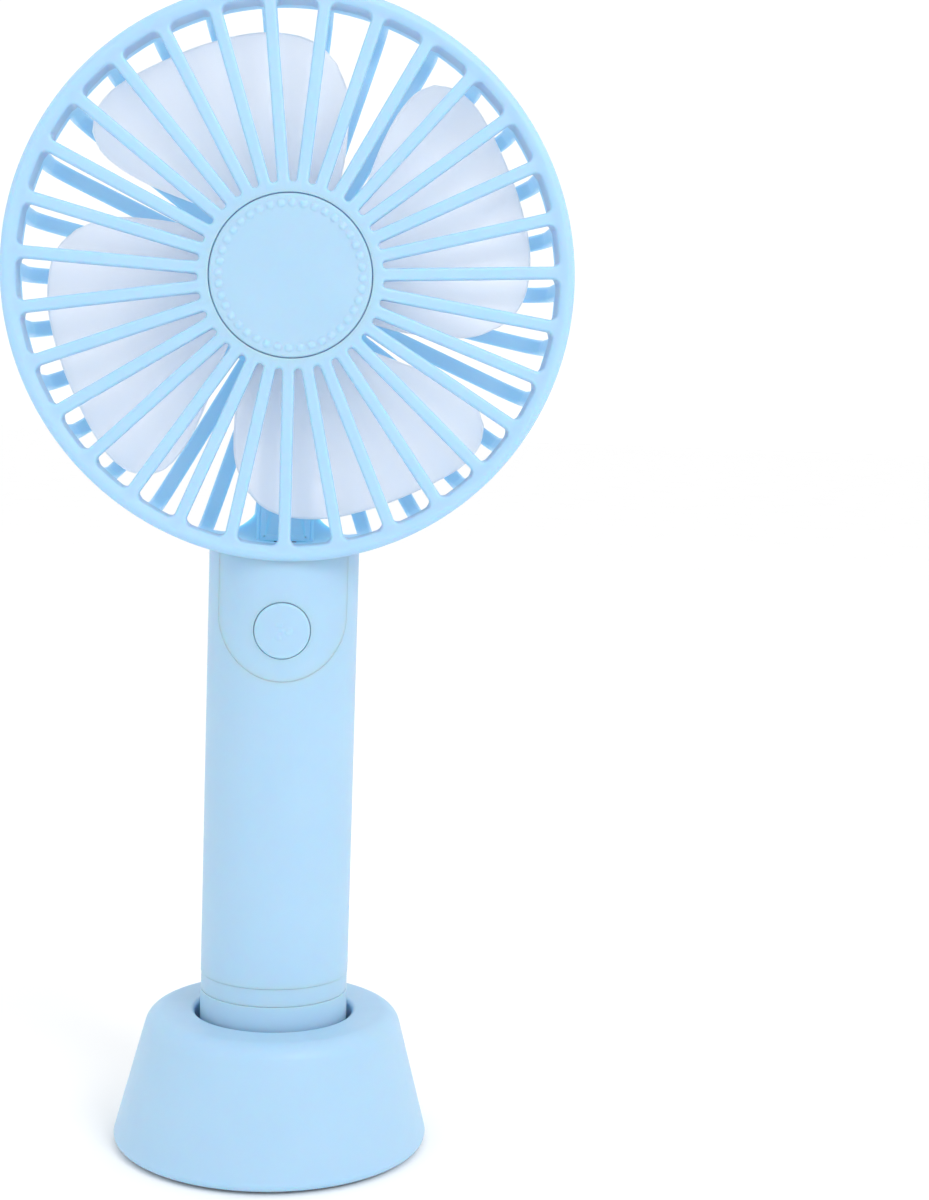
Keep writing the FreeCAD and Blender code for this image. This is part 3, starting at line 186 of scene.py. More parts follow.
def moulded(name, colour, shade, roughness, grain=0.22, relief=0.012, light_depth=0.0, gloss=0.5,
            painted_glow=0.0):
    """Moulded plastic: faint clouding, satin gloss that varies, and a fine eroded grain.

    light_depth is how far light travels inside it, in millimetres; the last argument is a painted glow,
    an even emission that stands in for the light that comes through a thin piece from behind.
    """
    finish = Finish(name)
    finish.blend("Base Color", finish.noise(size=14.0, detail=3.0), shade, colour)
    sheen = finish.noise(size=3.0, detail=4.0, roughness=0.6)
    finish.roughness(sheen, roughness - 0.05, roughness + 0.05)
    finish.emboss(finish.noise(size=grain, roughness=0.6), strength=0.35, relief=relief)
    finish.set({"Specular IOR Level": gloss,
                "Emission Color": (*PAINTED_GLOW_COLOUR, 1),
                "Emission Strength": painted_glow})
    if light_depth:
        finish.set({"Subsurface Weight": min(1.0, 0.5 + light_depth / 16),
                    "Subsurface Radius": SHELL_REACH,
                    "Subsurface Scale": light_depth * MM})
    return finish.material


def cloudy(name, colour, roughness, inputs):
    """Plastic with faint clouds in it; inputs are the shader's other settings."""
    finish = Finish(name)
    finish.blend("Base Color", finish.noise(size=12.0), darker(colour, 0.97), colour)
    sheen = finish.noise(size=4.0, detail=3.0)
    finish.roughness(sheen, roughness - 0.04, roughness + 0.04)
    finish.set(inputs)
    return finish.material


def clear_plastic(name, colour, roughness, transmission):
    """Milky see-through plastic."""
    return cloudy(name, colour, roughness, {"Transmission Weight": transmission, "IOR": CLEAR_INDEX})


def milky(name, colour, painted_glow, roughness):
    """Thin milky plastic that light passes through, with a faint even emission: painted light standing in
    for more of it.
    """
    inputs = {"Subsurface Weight": 1.0, "Subsurface Radius": grey(1.0),
              "Subsurface Scale": BLADE_LIGHT_DEPTH * MM, "Transmission Weight": 0.4,
              "Emission Color": (*painted_glow, 1), "Emission Strength": BLADE_PAINTED_GLOW}
    return cloudy(name, colour, roughness, inputs)


def metal(name, colour, roughness, brushed=0.0):
    """Bare metal with faint drawn lines; brushed is how long the lines are, from 0 to 1."""
    finish = Finish(name)
    stretch = finish.add("ShaderNodeMapping", Scale=(1.0, 1.0, 1.0 - 0.95 * brushed))
    finish.link(finish.place, stretch.inputs["Vector"])
    lines = finish.noise(size=0.35, detail=3.0, roughness=0.6, place=stretch.outputs["Vector"])
    finish.blend("Base Color", lines, darker(colour, 0.85), colour)
    finish.roughness(lines, roughness + 0.08, roughness - 0.05)
    finish.emboss(lines, strength=0.2, relief=0.01)
    finish.set({"Metallic": 1.0})
    return finish.material


def fibres(name, colour, shade, size):
    """Felt or foam: matt, with a tangle of short fibres or cells."""
    finish = Finish(name)
    tangle = finish.noise(size, detail=8.0, roughness=0.7)
    finish.blend("Base Color", tangle, shade, colour, at=(0.35, 0.65))
    finish.emboss(tangle, strength=0.8, relief=0.15)
    finish.set({"Roughness": 0.95, "Sheen Weight": 0.3})
    return finish.material


def paper(name):
    finish = Finish(name)
    finish.blend("Base Color", finish.noise(size=60.0), grey(0.93), grey(0.95))
    finish.set({"Roughness": 0.9})
    return finish.material


def plain_name(material):
    """Name of a material without the number that Blender may put behind it."""
    return material.name.split(".")[0]


SKY = (0.365, 0.560, 0.735)
SKY_SHADE = (0.353, 0.548, 0.725)
CAGE_SKY = (0.340, 0.485, 0.645)  # darker than SKY, to make up for the painted glow that stands in for light coming through the thin bars

MATERIALS = {plain_name(material): material for material in (
    moulded("shell_plastic", SKY, SKY_SHADE, 0.46, light_depth=2.5),
    moulded("ring_plastic", SKY, SKY_SHADE, 0.46, light_depth=4.0),
    # Copy of the shell's plastic, darker, with a painted glow that lifts its shaded bars
    moulded("cage_plastic", CAGE_SKY, CAGE_SKY, 0.46, light_depth=2.5, painted_glow=0.24),
    moulded("button_plastic", SKY, SKY_SHADE, 0.42, grain=0.3, light_depth=2.5),
    milky("blade_plastic", (0.90, 0.91, 0.97), (0.75, 0.79, 0.90), 0.38),
    moulded("hidden_plastic", (0.72, 0.74, 0.76), (0.66, 0.68, 0.70), 0.5),
    moulded("foot_rubber", (0.55, 0.57, 0.60), (0.50, 0.52, 0.55), 0.75, grain=0.4, relief=0.03),
    fibres("felt", (0.62, 0.76, 0.90), (0.45, 0.60, 0.78), 0.3),
    fibres("foam", (0.10, 0.10, 0.11), (0.03, 0.03, 0.035), 0.5),
    metal("motor_steel", (0.62, 0.62, 0.64), 0.32, 0.8),
    metal("shaft_steel", (0.75, 0.75, 0.77), 0.2, 0.9),
    metal("screw_steel", (0.55, 0.55, 0.57), 0.35),
    moulded("magnet", (0.06, 0.06, 0.065), (0.04, 0.04, 0.045), 0.6),
    metal("bush_bronze", (0.66, 0.42, 0.20), 0.45),
    metal("copper", (0.80, 0.40, 0.22), 0.3, 0.5),
    metal("nickel", (0.70, 0.68, 0.64), 0.28, 0.6),
    metal("cell", (0.68, 0.68, 0.70), 0.3, 0.7),
    moulded("cell_sleeve", (0.08, 0.28, 0.62), (0.06, 0.24, 0.56), 0.3, gloss=0.6),
    moulded("board", (0.03, 0.22, 0.10), (0.02, 0.17, 0.08), 0.35),
    moulded("chip_black", (0.03, 0.03, 0.032), (0.02, 0.02, 0.022), 0.5),
    moulded("plunger", (0.80, 0.80, 0.78), (0.76, 0.76, 0.74), 0.4),
    metal("socket_steel", (0.72, 0.72, 0.74), 0.25, 0.5),
    clear_plastic("led", (0.95, 0.9, 0.75), 0.2, 0.4),
    clear_plastic("lens", (0.92, 0.95, 1.0), 0.15, 0.6),
    moulded("lead_red", (0.62, 0.03, 0.02), (0.5, 0.02, 0.02), 0.4),
    moulded("lead_black", (0.02, 0.02, 0.02), (0.015, 0.015, 0.015), 0.4),
)}


def paint_cad_nodes():
    """Every CAD node takes the finished material of its slot, and the rear grille the cage's, with its
    painted glow.
    """
    for name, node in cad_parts.items():
        for slot in node.material_slots:
            wanted = "cage_plastic" if name == "rear_grille" else plain_name(slot.material)
            slot.material = MATERIALS[wanted]


# ---- Places and sizes read from the frame ----

def node_box(name):
    """Lowest and highest corner of a CAD node, in millimetres."""
    low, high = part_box(name)
    return low / MM, high / MM


def round_box(name):
    """Half width, lowest and highest corner of a round CAD node."""
    low, high = node_box(name)
    return (high.x - low.x) / 2, low, high


RING_R, ring_low, ring_high = round_box("front_grille")
CAP_R, cap_low, cap_high = round_box("centre_cap")
HANDLE_R, tube_low, _ = round_box("handle_tube")
BUTTON_R, button_low, button_high = round_box("power_button")

HEAD_Z = (ring_low.z + ring_high.z) / 2
RING_FRONT_Y, RING_BACK_Y = ring_low.y, ring_high.y
BUTTON_Z = (button_low.z + button_high.z) / 2


# ---- Mesh tools ----

ARC_STEP = math.radians(12)  # longest turn between two points of an arc
FULL_TURN = 2 * math.pi


class Shape:
    """Points, in millimetres, and faces of a piece that is being made."""

    def __init__(self):
        self.points = []
        self.faces = []

    def grid(self, rows, wrap_rows=False, wrap_columns=False):
        """Adds four-sided faces between neighbouring rows of points."""
        start = len(self.points)
        width = len(rows[0])
        for row in rows:
            self.points.extend(row)
        for row in range(len(rows) if wrap_rows else len(rows) - 1):
            here = start + row * width
            below = start + (row + 1) % len(rows) * width
            for column in range(width if wrap_columns else width - 1):
                beside = (column + 1) % width
                self.faces.append((here + column, here + beside, below + beside, below + column))

    def rings(self, rows, closed=False):
        """Adds faces between rings of points, and from the last ring to the first when closed."""
        self.grid(rows, wrap_rows=closed, wrap_columns=True)

    def join(self, other, offset):
        """Takes in another shape, moved by an offset."""
        start = len(self.points)
        self.points += [point + Vector(offset) for point in other.points]
        self.faces += [tuple(start + corner for corner in face) for face in other.faces]


def mix(low, high, share):
    return low + (high - low) * share


def spaced(low, high, steps):
    """Evenly spaced numbers from low to high, with both ends."""
    return [mix(low, high, step / steps) for step in range(steps + 1)]


def smooth_step(low, high, value):
    share = min(1.0, max(0.0, (value - low) / (high - low)))
    return share * share * (3 - 2 * share)


def smooth_least(first, second, width):
    """The lesser of two numbers, with the change from one to the other rounded."""
    share = max(width - abs(first - second), 0.0) / width
    return min(first, second) - share * share * width / 4


def rounded_outline(corners, closed=True):
    """Flat outline from (across, along, radius) corners, each corner an arc of its own radius."""
    points = []
    for index, (across, along, radius) in enumerate(corners):
        corner = Vector((across, along))
        if radius <= 0 or (not closed and index in (0, len(corners) - 1)):
            points.append(corner)
            continue
        back = (Vector(corners[index - 1][:2]) - corner).normalized()
        ahead = (Vector(corners[(index + 1) % len(corners)][:2]) - corner).normalized()
        half_angle = back.angle(ahead) / 2
        centre = corner + (back + ahead).normalized() * radius / math.sin(half_angle)
        start = corner + back * radius / math.tan(half_angle) - centre
        left_turn = back.x * ahead.y - back.y * ahead.x < 0
        sweep = (math.pi - 2 * half_angle) * (1 if left_turn else -1)
        steps = max(3, math.ceil(abs(sweep) / ARC_STEP))
        for step in range(steps + 1):
            points.append(centre + Matrix.Rotation(sweep * step / steps, 2) @ start)
    return points


def head_point(radius, y, angle):
    """Point of the head; angle runs clockwise from the top, seen from the front."""
    return Vector((radius * math.sin(angle), y, HEAD_Z + radius * math.cos(angle)))


def handle_point(radius, z, angle):
    """Point of the handle or dock; angle runs from the front towards +X."""
    return Vector((radius * math.sin(angle), -radius * math.cos(angle), z))


def even_angles(count):
    return [FULL_TURN * index / count for index in range(count)]


def turned(shape, corners, place=handle_point, sides=128, closed=True):
    """Turns an outline of (radius, height, corner radius) about the handle's or the head's axis."""
    rows = []
    for radius, height in rounded_outline(corners, closed):
        rows.append([place(max(radius, 0.0), height, angle) for angle in even_angles(sides)])
    shape.rings(rows, closed)


def mesh_object(name, shape):
    """Object with the shape's mesh: joined up, its faces turned outwards."""
    mesh = bpy.data.meshes.new(name)
    mesh.from_pydata([point * MM for point in shape.points], [], shape.faces)
    work = bmesh.new()
    work.from_mesh(mesh)
    bmesh.ops.remove_doubles(work, verts=work.verts, dist=0.002 * MM)
    bmesh.ops.recalc_face_normals(work, faces=work.faces)
    work.to_mesh(mesh)
    work.free()
    piece = bpy.data.objects.new(name, mesh)
    bpy.context.scene.collection.objects.link(piece)
    return piece


def keep_modified(piece):
    """Turns what the modifiers make into the piece's own mesh."""
    evaluated = piece.evaluated_get(bpy.context.evaluated_depsgraph_get())
    mesh = bpy.data.meshes.new_from_object(evaluated)
    piece.modifiers.clear()
    piece.data = mesh


def finish_piece(piece, body, nodes, slot, sharp=40, material=None):
    """Smooths a piece, paints it and hands it to its body in place of its CAD nodes."""
    piece.data.materials.clear()
    piece.data.materials.append(MATERIALS[material or slot])
    piece.data.shade_smooth()
    piece.data.set_sharp_from_angle(angle=math.radians(sharp))
    weighted = piece.modifiers.new("even_shading", "WEIGHTED_NORMAL")
    weighted.keep_sharp = True
    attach(piece, body)
    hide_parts(*nodes)
    return piece


# ---- Front grille ----

FRONT_RIBS = 31
FRONT_RIB_HALF = 1.1  # half of a rib's width
HALF_PITCH = math.pi / FRONT_RIBS
FRONT_SLOTS = (16.5, 48.2)  # from and to these distances from the fan axis
RIB_SINK = 0.35  # ribs lie this far behind the ring's crest
RIB_BACK_Y = RING_FRONT_Y + 3.1
RING_CREST_R = RING_R - 1.4
REBATE_R = RING_R - 1.4
REBATE_DEPTH = 3.0
HUB_FACE_R = CAP_R + 0.45
HUB_SEAT_R = CAP_R + 0.12
SEAT_DEPTH = 1.4
HUB_BACK_Y = RING_FRONT_Y + 3.7
CREST_BLEND = 0.25
HUB_LIP = 0.8  # of full height, between the hub and the slots
RIB_FALL = 3.0  # along the slots, until the ribs are RIB_SINK down
RING_BLEND = 1.2
HUB_BLEND = 1.5
NARROW_STEPS = 6  # points along a slot's narrow end, half of it
SIDE_STEPS = 26
CORNER_STEPS = 6
WIDE_STEPS = 4
ROUND_STEPS = 5
SLOT_CORNER_R = 1.15  # at a slot's wide end
RIB_FRONT_ROUND = 0.55
RIB_BACK_ROUND = 0.25
SLOPE_STEP = 0.1
CENTRE_ROUNDS = 12  # in which the middle of a slot's narrow end settles
RIB_FACE_ROWS = 2  # rows of faces from a slot's edge to the middle of a rib


def front_grille_skin(along, share):
    """Crested ring and hub with the ribs a little behind them; the ring is deeper at the back."""
    round_r = RING_R - RING_CREST_R
    off_crest = min(abs(along - RING_CREST_R), round_r * 0.999)
    ring_front = RING_FRONT_Y + round_r - math.sqrt(round_r ** 2 - off_crest ** 2)
    slots_from, slots_to = FRONT_SLOTS
    hub_front = RING_FRONT_Y + RIB_SINK * smooth_step(slots_from - HUB_LIP, slots_from + RIB_FALL, along)
    front_y = smooth_least(hub_front, ring_front, CREST_BLEND)
    to_ring = smooth_step(slots_to - RING_BLEND, slots_to, along)
    to_hub = 1 - smooth_step(slots_from, slots_from + HUB_BLEND, along)
    back_y = mix(RIB_BACK_Y, RING_BACK_Y - REBATE_DEPTH, to_ring) + (HUB_BACK_Y - RIB_BACK_Y) * to_hub
    return along, mix(front_y, back_y, share)


def half_slot(along):
    """Half the width of a slot at a distance from the fan axis."""
    return along * (HALF_PITCH - math.asin(FRONT_RIB_HALF / along))


def lean(along):
    """Angle between the side of a slot and its middle."""
    rise = half_slot(along + SLOPE_STEP) - half_slot(along - SLOPE_STEP)
    return math.atan(rise / (2 * SLOPE_STEP))


def slot_outline():
    """Half of a slot's edge, from its narrow end to its wide end.

    Each point is (along, across) and the way out of the slot there, as (along, across).
    """
    narrow_end, wide_end = FRONT_SLOTS
    tilt = lean(narrow_end + 0.5)
    centre = narrow_end
    for _ in range(CENTRE_ROUNDS):
        centre = narrow_end + half_slot(centre) * math.cos(tilt)
    end_r = centre - narrow_end
    outline = []
    for turn in spaced(0, math.pi / 2 - tilt, NARROW_STEPS):
        out_along, out_across = -math.cos(turn), math.sin(turn)
        outline.append((centre + end_r * out_along, end_r * out_across, out_along, out_across))
    corner_along = wide_end - SLOT_CORNER_R
    tilt = lean(corner_along)
    corner_across = half_slot(corner_along) - SLOT_CORNER_R / math.cos(tilt)
    side_end = corner_along - SLOT_CORNER_R * math.sin(tilt)
    for along in spaced(outline[-1][0], side_end, SIDE_STEPS)[1:-1]:
        outline.append((along, half_slot(along), -math.sin(lean(along)), math.cos(lean(along))))
    for turn in spaced(math.pi / 2 + tilt, 0, CORNER_STEPS):
        out_along, out_across = math.cos(turn), math.sin(turn)
        outline.append((corner_along + SLOT_CORNER_R * out_along,
                        corner_across + SLOT_CORNER_R * out_across, out_along, out_across))
    outline += [(wide_end, across, 1.0, 0.0) for across in spaced(corner_across, 0, WIDE_STEPS)[1:]]
    return outline


def between(start, stop, share):
    """(along, angle) at a share of the way between two places on the sheet."""
    return mix(start[0], stop[0], share), mix(start[1], stop[1], share)


def rib_partners(outline):
    """For each point of a slot's half edge, the (along, angle) that it is joined to.

    These are on the edge of the hub's seat, on the middle of the rib, then on the ring's crest.
    """
    side_end = NARROW_STEPS + SIDE_STEPS
    half_corner = CORNER_STEPS // 2
    outer_steps = CORNER_STEPS - half_corner + WIDE_STEPS
    partners = [(HUB_FACE_R, angle) for angle in spaced(HALF_PITCH, 0, NARROW_STEPS)]
    partners += [(place[0], 0.0) for place in outline[NARROW_STEPS + 1:side_end]]
    partners += [(along, 0.0) for along in spaced(outline[side_end][0], RING_CREST_R, half_corner)]
    partners += [(RING_CREST_R, angle) for angle in spaced(0, HALF_PITCH, outer_steps)[1:]]
    return partners


def slotted_face(shape):
    """Front and back of the grille, with a rounded slot between each two ribs."""
    outline = slot_outline()
    strips = []
    for (along, across, out_along, out_across), partner in zip(outline, rib_partners(outline)):
        thickness = math.dist(front_grille_skin(along, 0.0), front_grille_skin(along, 1.0))

        def at(offset, depth):
            """Place at a distance out of the slot and a depth below the front face."""
            place = along + out_along * offset
            return place, HALF_PITCH - (across + out_across * offset) / place, depth / thickness

        front, back = [], []
        for turn in spaced(0, math.pi / 2, ROUND_STEPS):
            reach, depth = 1 - math.sin(turn), 1 - math.cos(turn)
            front.append(at(RIB_FRONT_ROUND * reach, RIB_FRONT_ROUND * depth))
            back.append(at(RIB_BACK_ROUND * reach, thickness - RIB_BACK_ROUND * depth))
        shares = spaced(0, 1, RIB_FACE_ROWS)
        strip = [(*between(partner, front[0], share), 0.0) for share in shares[:-1]]
        strip += front + back[::-1]
        strip += [(*between(back[0], partner, share), 1.0) for share in shares[1:]]
        strips.append(strip)
    for rib in range(FRONT_RIBS):
        middle = (2 * rib + 1) * HALF_PITCH
        for side in (1, -1):
            rows = []
            for strip in strips:
                rows.append([head_point(*front_grille_skin(along, share), middle + side * angle)
                             for along, angle, share in strip])
            shape.grid(rows)


def front_grille():
    shape = Shape()
    slotted_face(shape)
    crest_round = RING_R - RING_CREST_R - 0.01
    ring_steps = CORNER_STEPS - CORNER_STEPS // 2 + WIDE_STEPS
    turned(shape, [(RING_CREST_R, RING_FRONT_Y, 0), (RING_R, RING_FRONT_Y, crest_round),
                   (RING_R, RING_BACK_Y, 0.3), (REBATE_R, RING_BACK_Y, 0.15),
                   (REBATE_R, RING_BACK_Y - REBATE_DEPTH, 0)],
           head_point, 2 * FRONT_RIBS * ring_steps, closed=False)
    seat_y = RING_FRONT_Y + SEAT_DEPTH
    hub_sides = 2 * FRONT_RIBS * NARROW_STEPS
    turned(shape, [(HUB_FACE_R, RING_FRONT_Y, 0), (HUB_SEAT_R, RING_FRONT_Y, 0.25),
                   (HUB_SEAT_R, seat_y, 0), (0, seat_y, 0)], head_point, hub_sides, closed=False)
    back_y = front_grille_skin(HUB_FACE_R, 1.0)[1]
    turned(shape, [(reach, back_y, 0) for reach in (HUB_FACE_R, HUB_FACE_R / 2, 0)],
           head_point, hub_sides, closed=False)
    finish_piece(mesh_object("front_guard", shape), "fan", ["front_grille"], "shell_plastic",
                 material="ring_plastic")


# ---- Centre cap ----

BEAD_COUNT = 40
BEAD_CIRCLE_R = 12.75
BEAD_HALF = 0.70
BEAD_HEIGHT = 0.3
BEAD_SQUARENESS = 2.6  # 2 makes round beads
BEAD_SOFTNESS = 0.7
BEAD_ROWS = 14
BEAD_COLUMNS = 12
BEAD_MARGIN = 0.1
CAP_FACE_RINGS = [0.0, 5.0, 9.0, 11.2]
CAP_EDGE_ROUND = 0.45


def bead_lift(radius, angle):
    """Height of the ring of soft square beads at a place on the cap."""
    pitch = FULL_TURN / BEAD_COUNT
    off_middle = (angle + pitch / 2) % pitch - pitch / 2
    off_circle = abs(radius - BEAD_CIRCLE_R) / BEAD_HALF
    off_side = abs(off_middle) * BEAD_CIRCLE_R / BEAD_HALF
    away = off_circle ** BEAD_SQUARENESS + off_side ** BEAD_SQUARENESS
    return BEAD_HEIGHT * max(0.0, 1 - away) ** BEAD_SOFTNESS


def centre_cap():
    shape = Shape()
    face_y = cap_low.y + BEAD_HEIGHT
    sides = BEAD_COUNT * BEAD_COLUMNS
    bead_reach = BEAD_HALF + BEAD_MARGIN
    beads = spaced(BEAD_CIRCLE_R - bead_reach, BEAD_CIRCLE_R + bead_reach, BEAD_ROWS)
    rows = []
    for radius in CAP_FACE_RINGS + beads:
        rows.append([head_point(radius, face_y - bead_lift(radius, angle), angle)
                     for angle in even_angles(sides)])
    shape.rings(rows)
    turned(shape, [(beads[-1], face_y, 0), (CAP_R, face_y, CAP_EDGE_ROUND),
                   (CAP_R, cap_high.y, 0.15), (0, cap_high.y, 0)], head_point, sides, closed=False)
    finish_piece(mesh_object("hub_cap", shape), "fan", ["centre_cap"], "shell_plastic")


# ---- Impeller ----

BLADE_COUNT = 4
BLADE_FIRST_ANGLE = 34.9  # of a leading edge, clockwise from the top
BLADE_BACK_Y = -1.6
BLADE_FRONT_Y = -10.6
BLADE_THICKNESS = 1.1
BLADE_TRIM = 0.05  # off each side of that
BLADE_HUB_R = 13.2
BLADE_HUB_FRONT_Y = -11.4
BLADE_HUB_BACK_Y = 0.3
BLADE_HUB_WALL = 1.3
SHAFT_HOLE_R = 1.0
BUSH_R = 2.6  # round the shaft, inside the hub
BUSH_BACK_Y = -1.2
BLADE_SWEEP = 104.0  # degrees over which a blade rises from its back to its front
BLADE_SWEEP_START = -6.0
BLADE_BOW = 0.10  # of the rise, at the middle of the sweep
BLADE_ACROSS_STEPS = 44
BLADE_ALONG_STEPS = 30
BLADE_EDGE_STEPS = 6
FINE_STEPS = 20  # between two points of a curve while its length is measured
# Edges of one blade as (distance from the fan axis, degrees past its leading edge)
BLADE_ROOT = [(12.5, 12), (12.5, 36), (12.5, 62), (12.5, 86)]
BLADE_LEAD = [(12.5, 12), (17.5, 6.5), (23.0, 1.0), (30.0, -2.8), (36.5, -3.8), (41.5, -2.8),
              (44.6, -0.2)]
BLADE_TIP = [(44.6, -0.2), (46.3, 4.0), (46.7, 9.0), (46.2, 14.0), (45.2, 22.0), (44.5, 33.0),
             (44.2, 45.0), (43.4, 54.5), (41.8, 61.0), (39.2, 65.8)]
BLADE_TRAIL = [(12.5, 86), (17.5, 82.0), (23.0, 78.5), (30.0, 74.0), (35.0, 70.5), (39.2, 65.8)]


def smooth_curve(edge, steps):
    """Evenly spaced flat places on a smooth curve through (radius, degrees) points."""
    points = []
    for radius, degrees in edge:
        turn = math.radians(degrees)
        points.append(Vector((radius * math.sin(turn), radius * math.cos(turn))))
    ends = [2 * points[0] - points[1]] + points + [2 * points[-1] - points[-2]]
    fine = []
    for before, start, stop, after in zip(ends, ends[1:], ends[2:], ends[3:]):
        for t in spaced(0, 1, FINE_STEPS)[:-1]:
            bend = 2 * before - 5 * start + 4 * stop - after
            twist = 3 * (start - stop) + after - before
            fine.append(start + 0.5 * t * (stop - before + t * (bend + t * twist)))
    fine.append(points[-1])
    travelled = [0.0]
    for start, stop in zip(fine, fine[1:]):
        travelled.append(travelled[-1] + (stop - start).length)
    places, index = [], 0
    for wanted in spaced(0, travelled[-1], steps):
        while index < len(fine) - 2 and travelled[index + 1] < wanted:
            index += 1
        share = (wanted - travelled[index]) / (travelled[index + 1] - travelled[index])
        places.append(fine[index].lerp(fine[index + 1], share))
    return places


def blade_middle_y(place):
    """Depth of the middle of the blade at a flat place: a ramp that bows a little."""
    turn = math.degrees(math.atan2(place.x, place.y))
    share = (turn - BLADE_SWEEP_START) / BLADE_SWEEP
    bow = BLADE_BOW * math.sin(math.pi * share)
    return mix(BLADE_BACK_Y, BLADE_FRONT_Y, share + bow) + BLADE_THICKNESS / 2


def loop_inset(loop, distance):
    """Closed flat loop moved inwards; the loop runs clockwise."""
    moved = []
    for index, place in enumerate(loop):
        ahead = loop[(index + 1) % len(loop)] - loop[index - 1]
        inward = Vector((ahead.y, -ahead.x)).normalized()
        moved.append(place + inward * distance)
    return moved


def patch(bottom, top, left, right):
    """Rows of flat places that fill four joined curves."""
    rows = []
    for start, stop, up in zip(left, right, spaced(0, 1, len(left) - 1)):
        row = []
        for low, high, across in zip(bottom, top, spaced(0, 1, len(bottom) - 1)):
            corners = bottom[0].lerp(bottom[-1], across).lerp(top[0].lerp(top[-1], across), up)
            row.append(start.lerp(stop, across) + low.lerp(high, up) - corners)
        rows.append(row)
    return rows


def blade(shape, first_turn):
    across, along = BLADE_ACROSS_STEPS, BLADE_ALONG_STEPS
    root, tip = smooth_curve(BLADE_ROOT, across), smooth_curve(BLADE_TIP, across)
    lead, trail = smooth_curve(BLADE_LEAD, along), smooth_curve(BLADE_TRAIL, along)
    loop = lead[:-1] + tip[:-1] + trail[::-1][:-1] + root[::-1][:-1]
    half = BLADE_THICKNESS / 2 - BLADE_TRIM
    turn = Matrix.Rotation(-math.radians(first_turn), 2)

    def lifted(place, rise):
        turned_place = turn @ place
        return Vector((turned_place.x, blade_middle_y(place) - rise, HEAD_Z + turned_place.y))

    edge = []
    for angle in spaced(0, math.pi, BLADE_EDGE_STEPS):
        inset = loop_inset(loop, half * (1 - math.sin(angle)))
        edge.append([lifted(place, half * math.cos(angle)) for place in inset])
    shape.rings(edge)
    inner = loop_inset(loop, half)
    lead_in = inner[:along + 1]
    tip_in = inner[along:along + across + 1]
    trail_in = inner[along + across:2 * along + across + 1][::-1]
    root_in = (inner[2 * along + across:] + inner[:1])[::-1]
    places = patch(root_in, tip_in, lead_in, trail_in)
    for side in (half, -half):
        shape.grid([[lifted(place, side) for place in row] for row in places])


def impeller():
    shape = Shape()
    for index in range(BLADE_COUNT):
        blade(shape, BLADE_FIRST_ANGLE + index * 360 / BLADE_COUNT)
    inner_r = BLADE_HUB_R - BLADE_HUB_WALL
    inner_y = BLADE_HUB_FRONT_Y + BLADE_HUB_WALL
    turned(shape, [(SHAFT_HOLE_R, BLADE_HUB_FRONT_Y, 0.2), (BLADE_HUB_R, BLADE_HUB_FRONT_Y, 1.2),
                   (BLADE_HUB_R, BLADE_HUB_BACK_Y, 0.3), (inner_r, BLADE_HUB_BACK_Y, 0.3),
                   (inner_r, inner_y, 0.5), (BUSH_R, inner_y, 0.3), (BUSH_R, BUSH_BACK_Y, 0.2),
                   (SHAFT_HOLE_R, BUSH_BACK_Y, 0)], head_point)
    finish_piece(mesh_object("blade_wheel", shape), "rotor", ["impeller"], "blade_plastic", 50)


# ---- Handle ----

PANEL_HALF = 11.8  # half width of the U-shaped panel
PANEL_ARC_RISE = 2.4  # from the button's centre up to the centre of the U
SEAM_GAP = 0.01
SEAM_ROUND = 0.10
TUBE_WALL = 2.0
PANEL_WALL = 1.6
FLANGE_LAP = 0.79  # how far the button's flange reaches behind the panel's hole
STRAIGHT_BAND = 0.5  # round the hole, where the panel's wall runs along the button's travel
BLEND_BAND = 4.0  # round the hole, to where the wall points at the handle's axis
HEAD_CLEARANCE = 0.05
PANEL_ARC_Z = BUTTON_Z + PANEL_ARC_RISE
SOCKET_Z = BUTTON_Z - 5.8  # of the charging socket
LIGHT_Z = BUTTON_Z + 1.7  # of the charging light
SCREW_Z = HEAD_Z - 53.2
HOLE_BAND_X = 3.3  # half width of the strip of faces that holds the three rear holes
HOLE_BAND_COLUMNS = 8
HOLE_RINGS = 3
NOTCH_COLUMNS = 48
SIDE_COLUMNS = 36
PLAIN_ROWS = [37.0, 43.0, 50.0, 58.0, 66.0, 74.0, 82.0]
ROW_GAP = 2.0  # least height left between those rows and the next
NOTCH_BEND = 22.0  # below the button, where the rows begin to follow the panel's arc
# (height, half height of the faces round the hole, rows of faces, (half width, half height, corner))
REAR_HOLES = [(SOCKET_Z, 6.0, 12, (2.0, 4.45, 1.2)),
              (LIGHT_Z, 1.4, 4, (0.95, 0.95, 0.949)),
              (SCREW_Z, 2.7, 6, (2.0, 2.0, 1.999))]
HEAD_SHOULDER_Y = 14.0
HEAD_SHOULDER_ROUND = 8.0
HEAD_BACK_R = 14.6
HEAD_BACK_RISE = 6.0  # from the shoulder to the back of the head
PANEL_TOP_Y = -HANDLE_R + 1  # where the head is measured for the panel's upper edge
PANEL_RINGS = 12
PANEL_TOP_STEPS = 24
PANEL_SIDE_STEPS = 12
PANEL_ARC_STEPS = 60
WALL_EDGE_ANGLE = math.radians(50)


def head_outline():
    """The closed head's outline as (distance from the fan axis, y), front to back."""
    wide = RING_R + HEAD_CLEARANCE
    shoulder_y = HEAD_SHOULDER_Y + HEAD_CLEARANCE
    return rounded_outline([(wide, RING_FRONT_Y, 0), (wide, shoulder_y, HEAD_SHOULDER_ROUND),
                            (HEAD_BACK_R, shoulder_y + HEAD_BACK_RISE, 0)], closed=False)


HEAD_OUTLINE = head_outline()


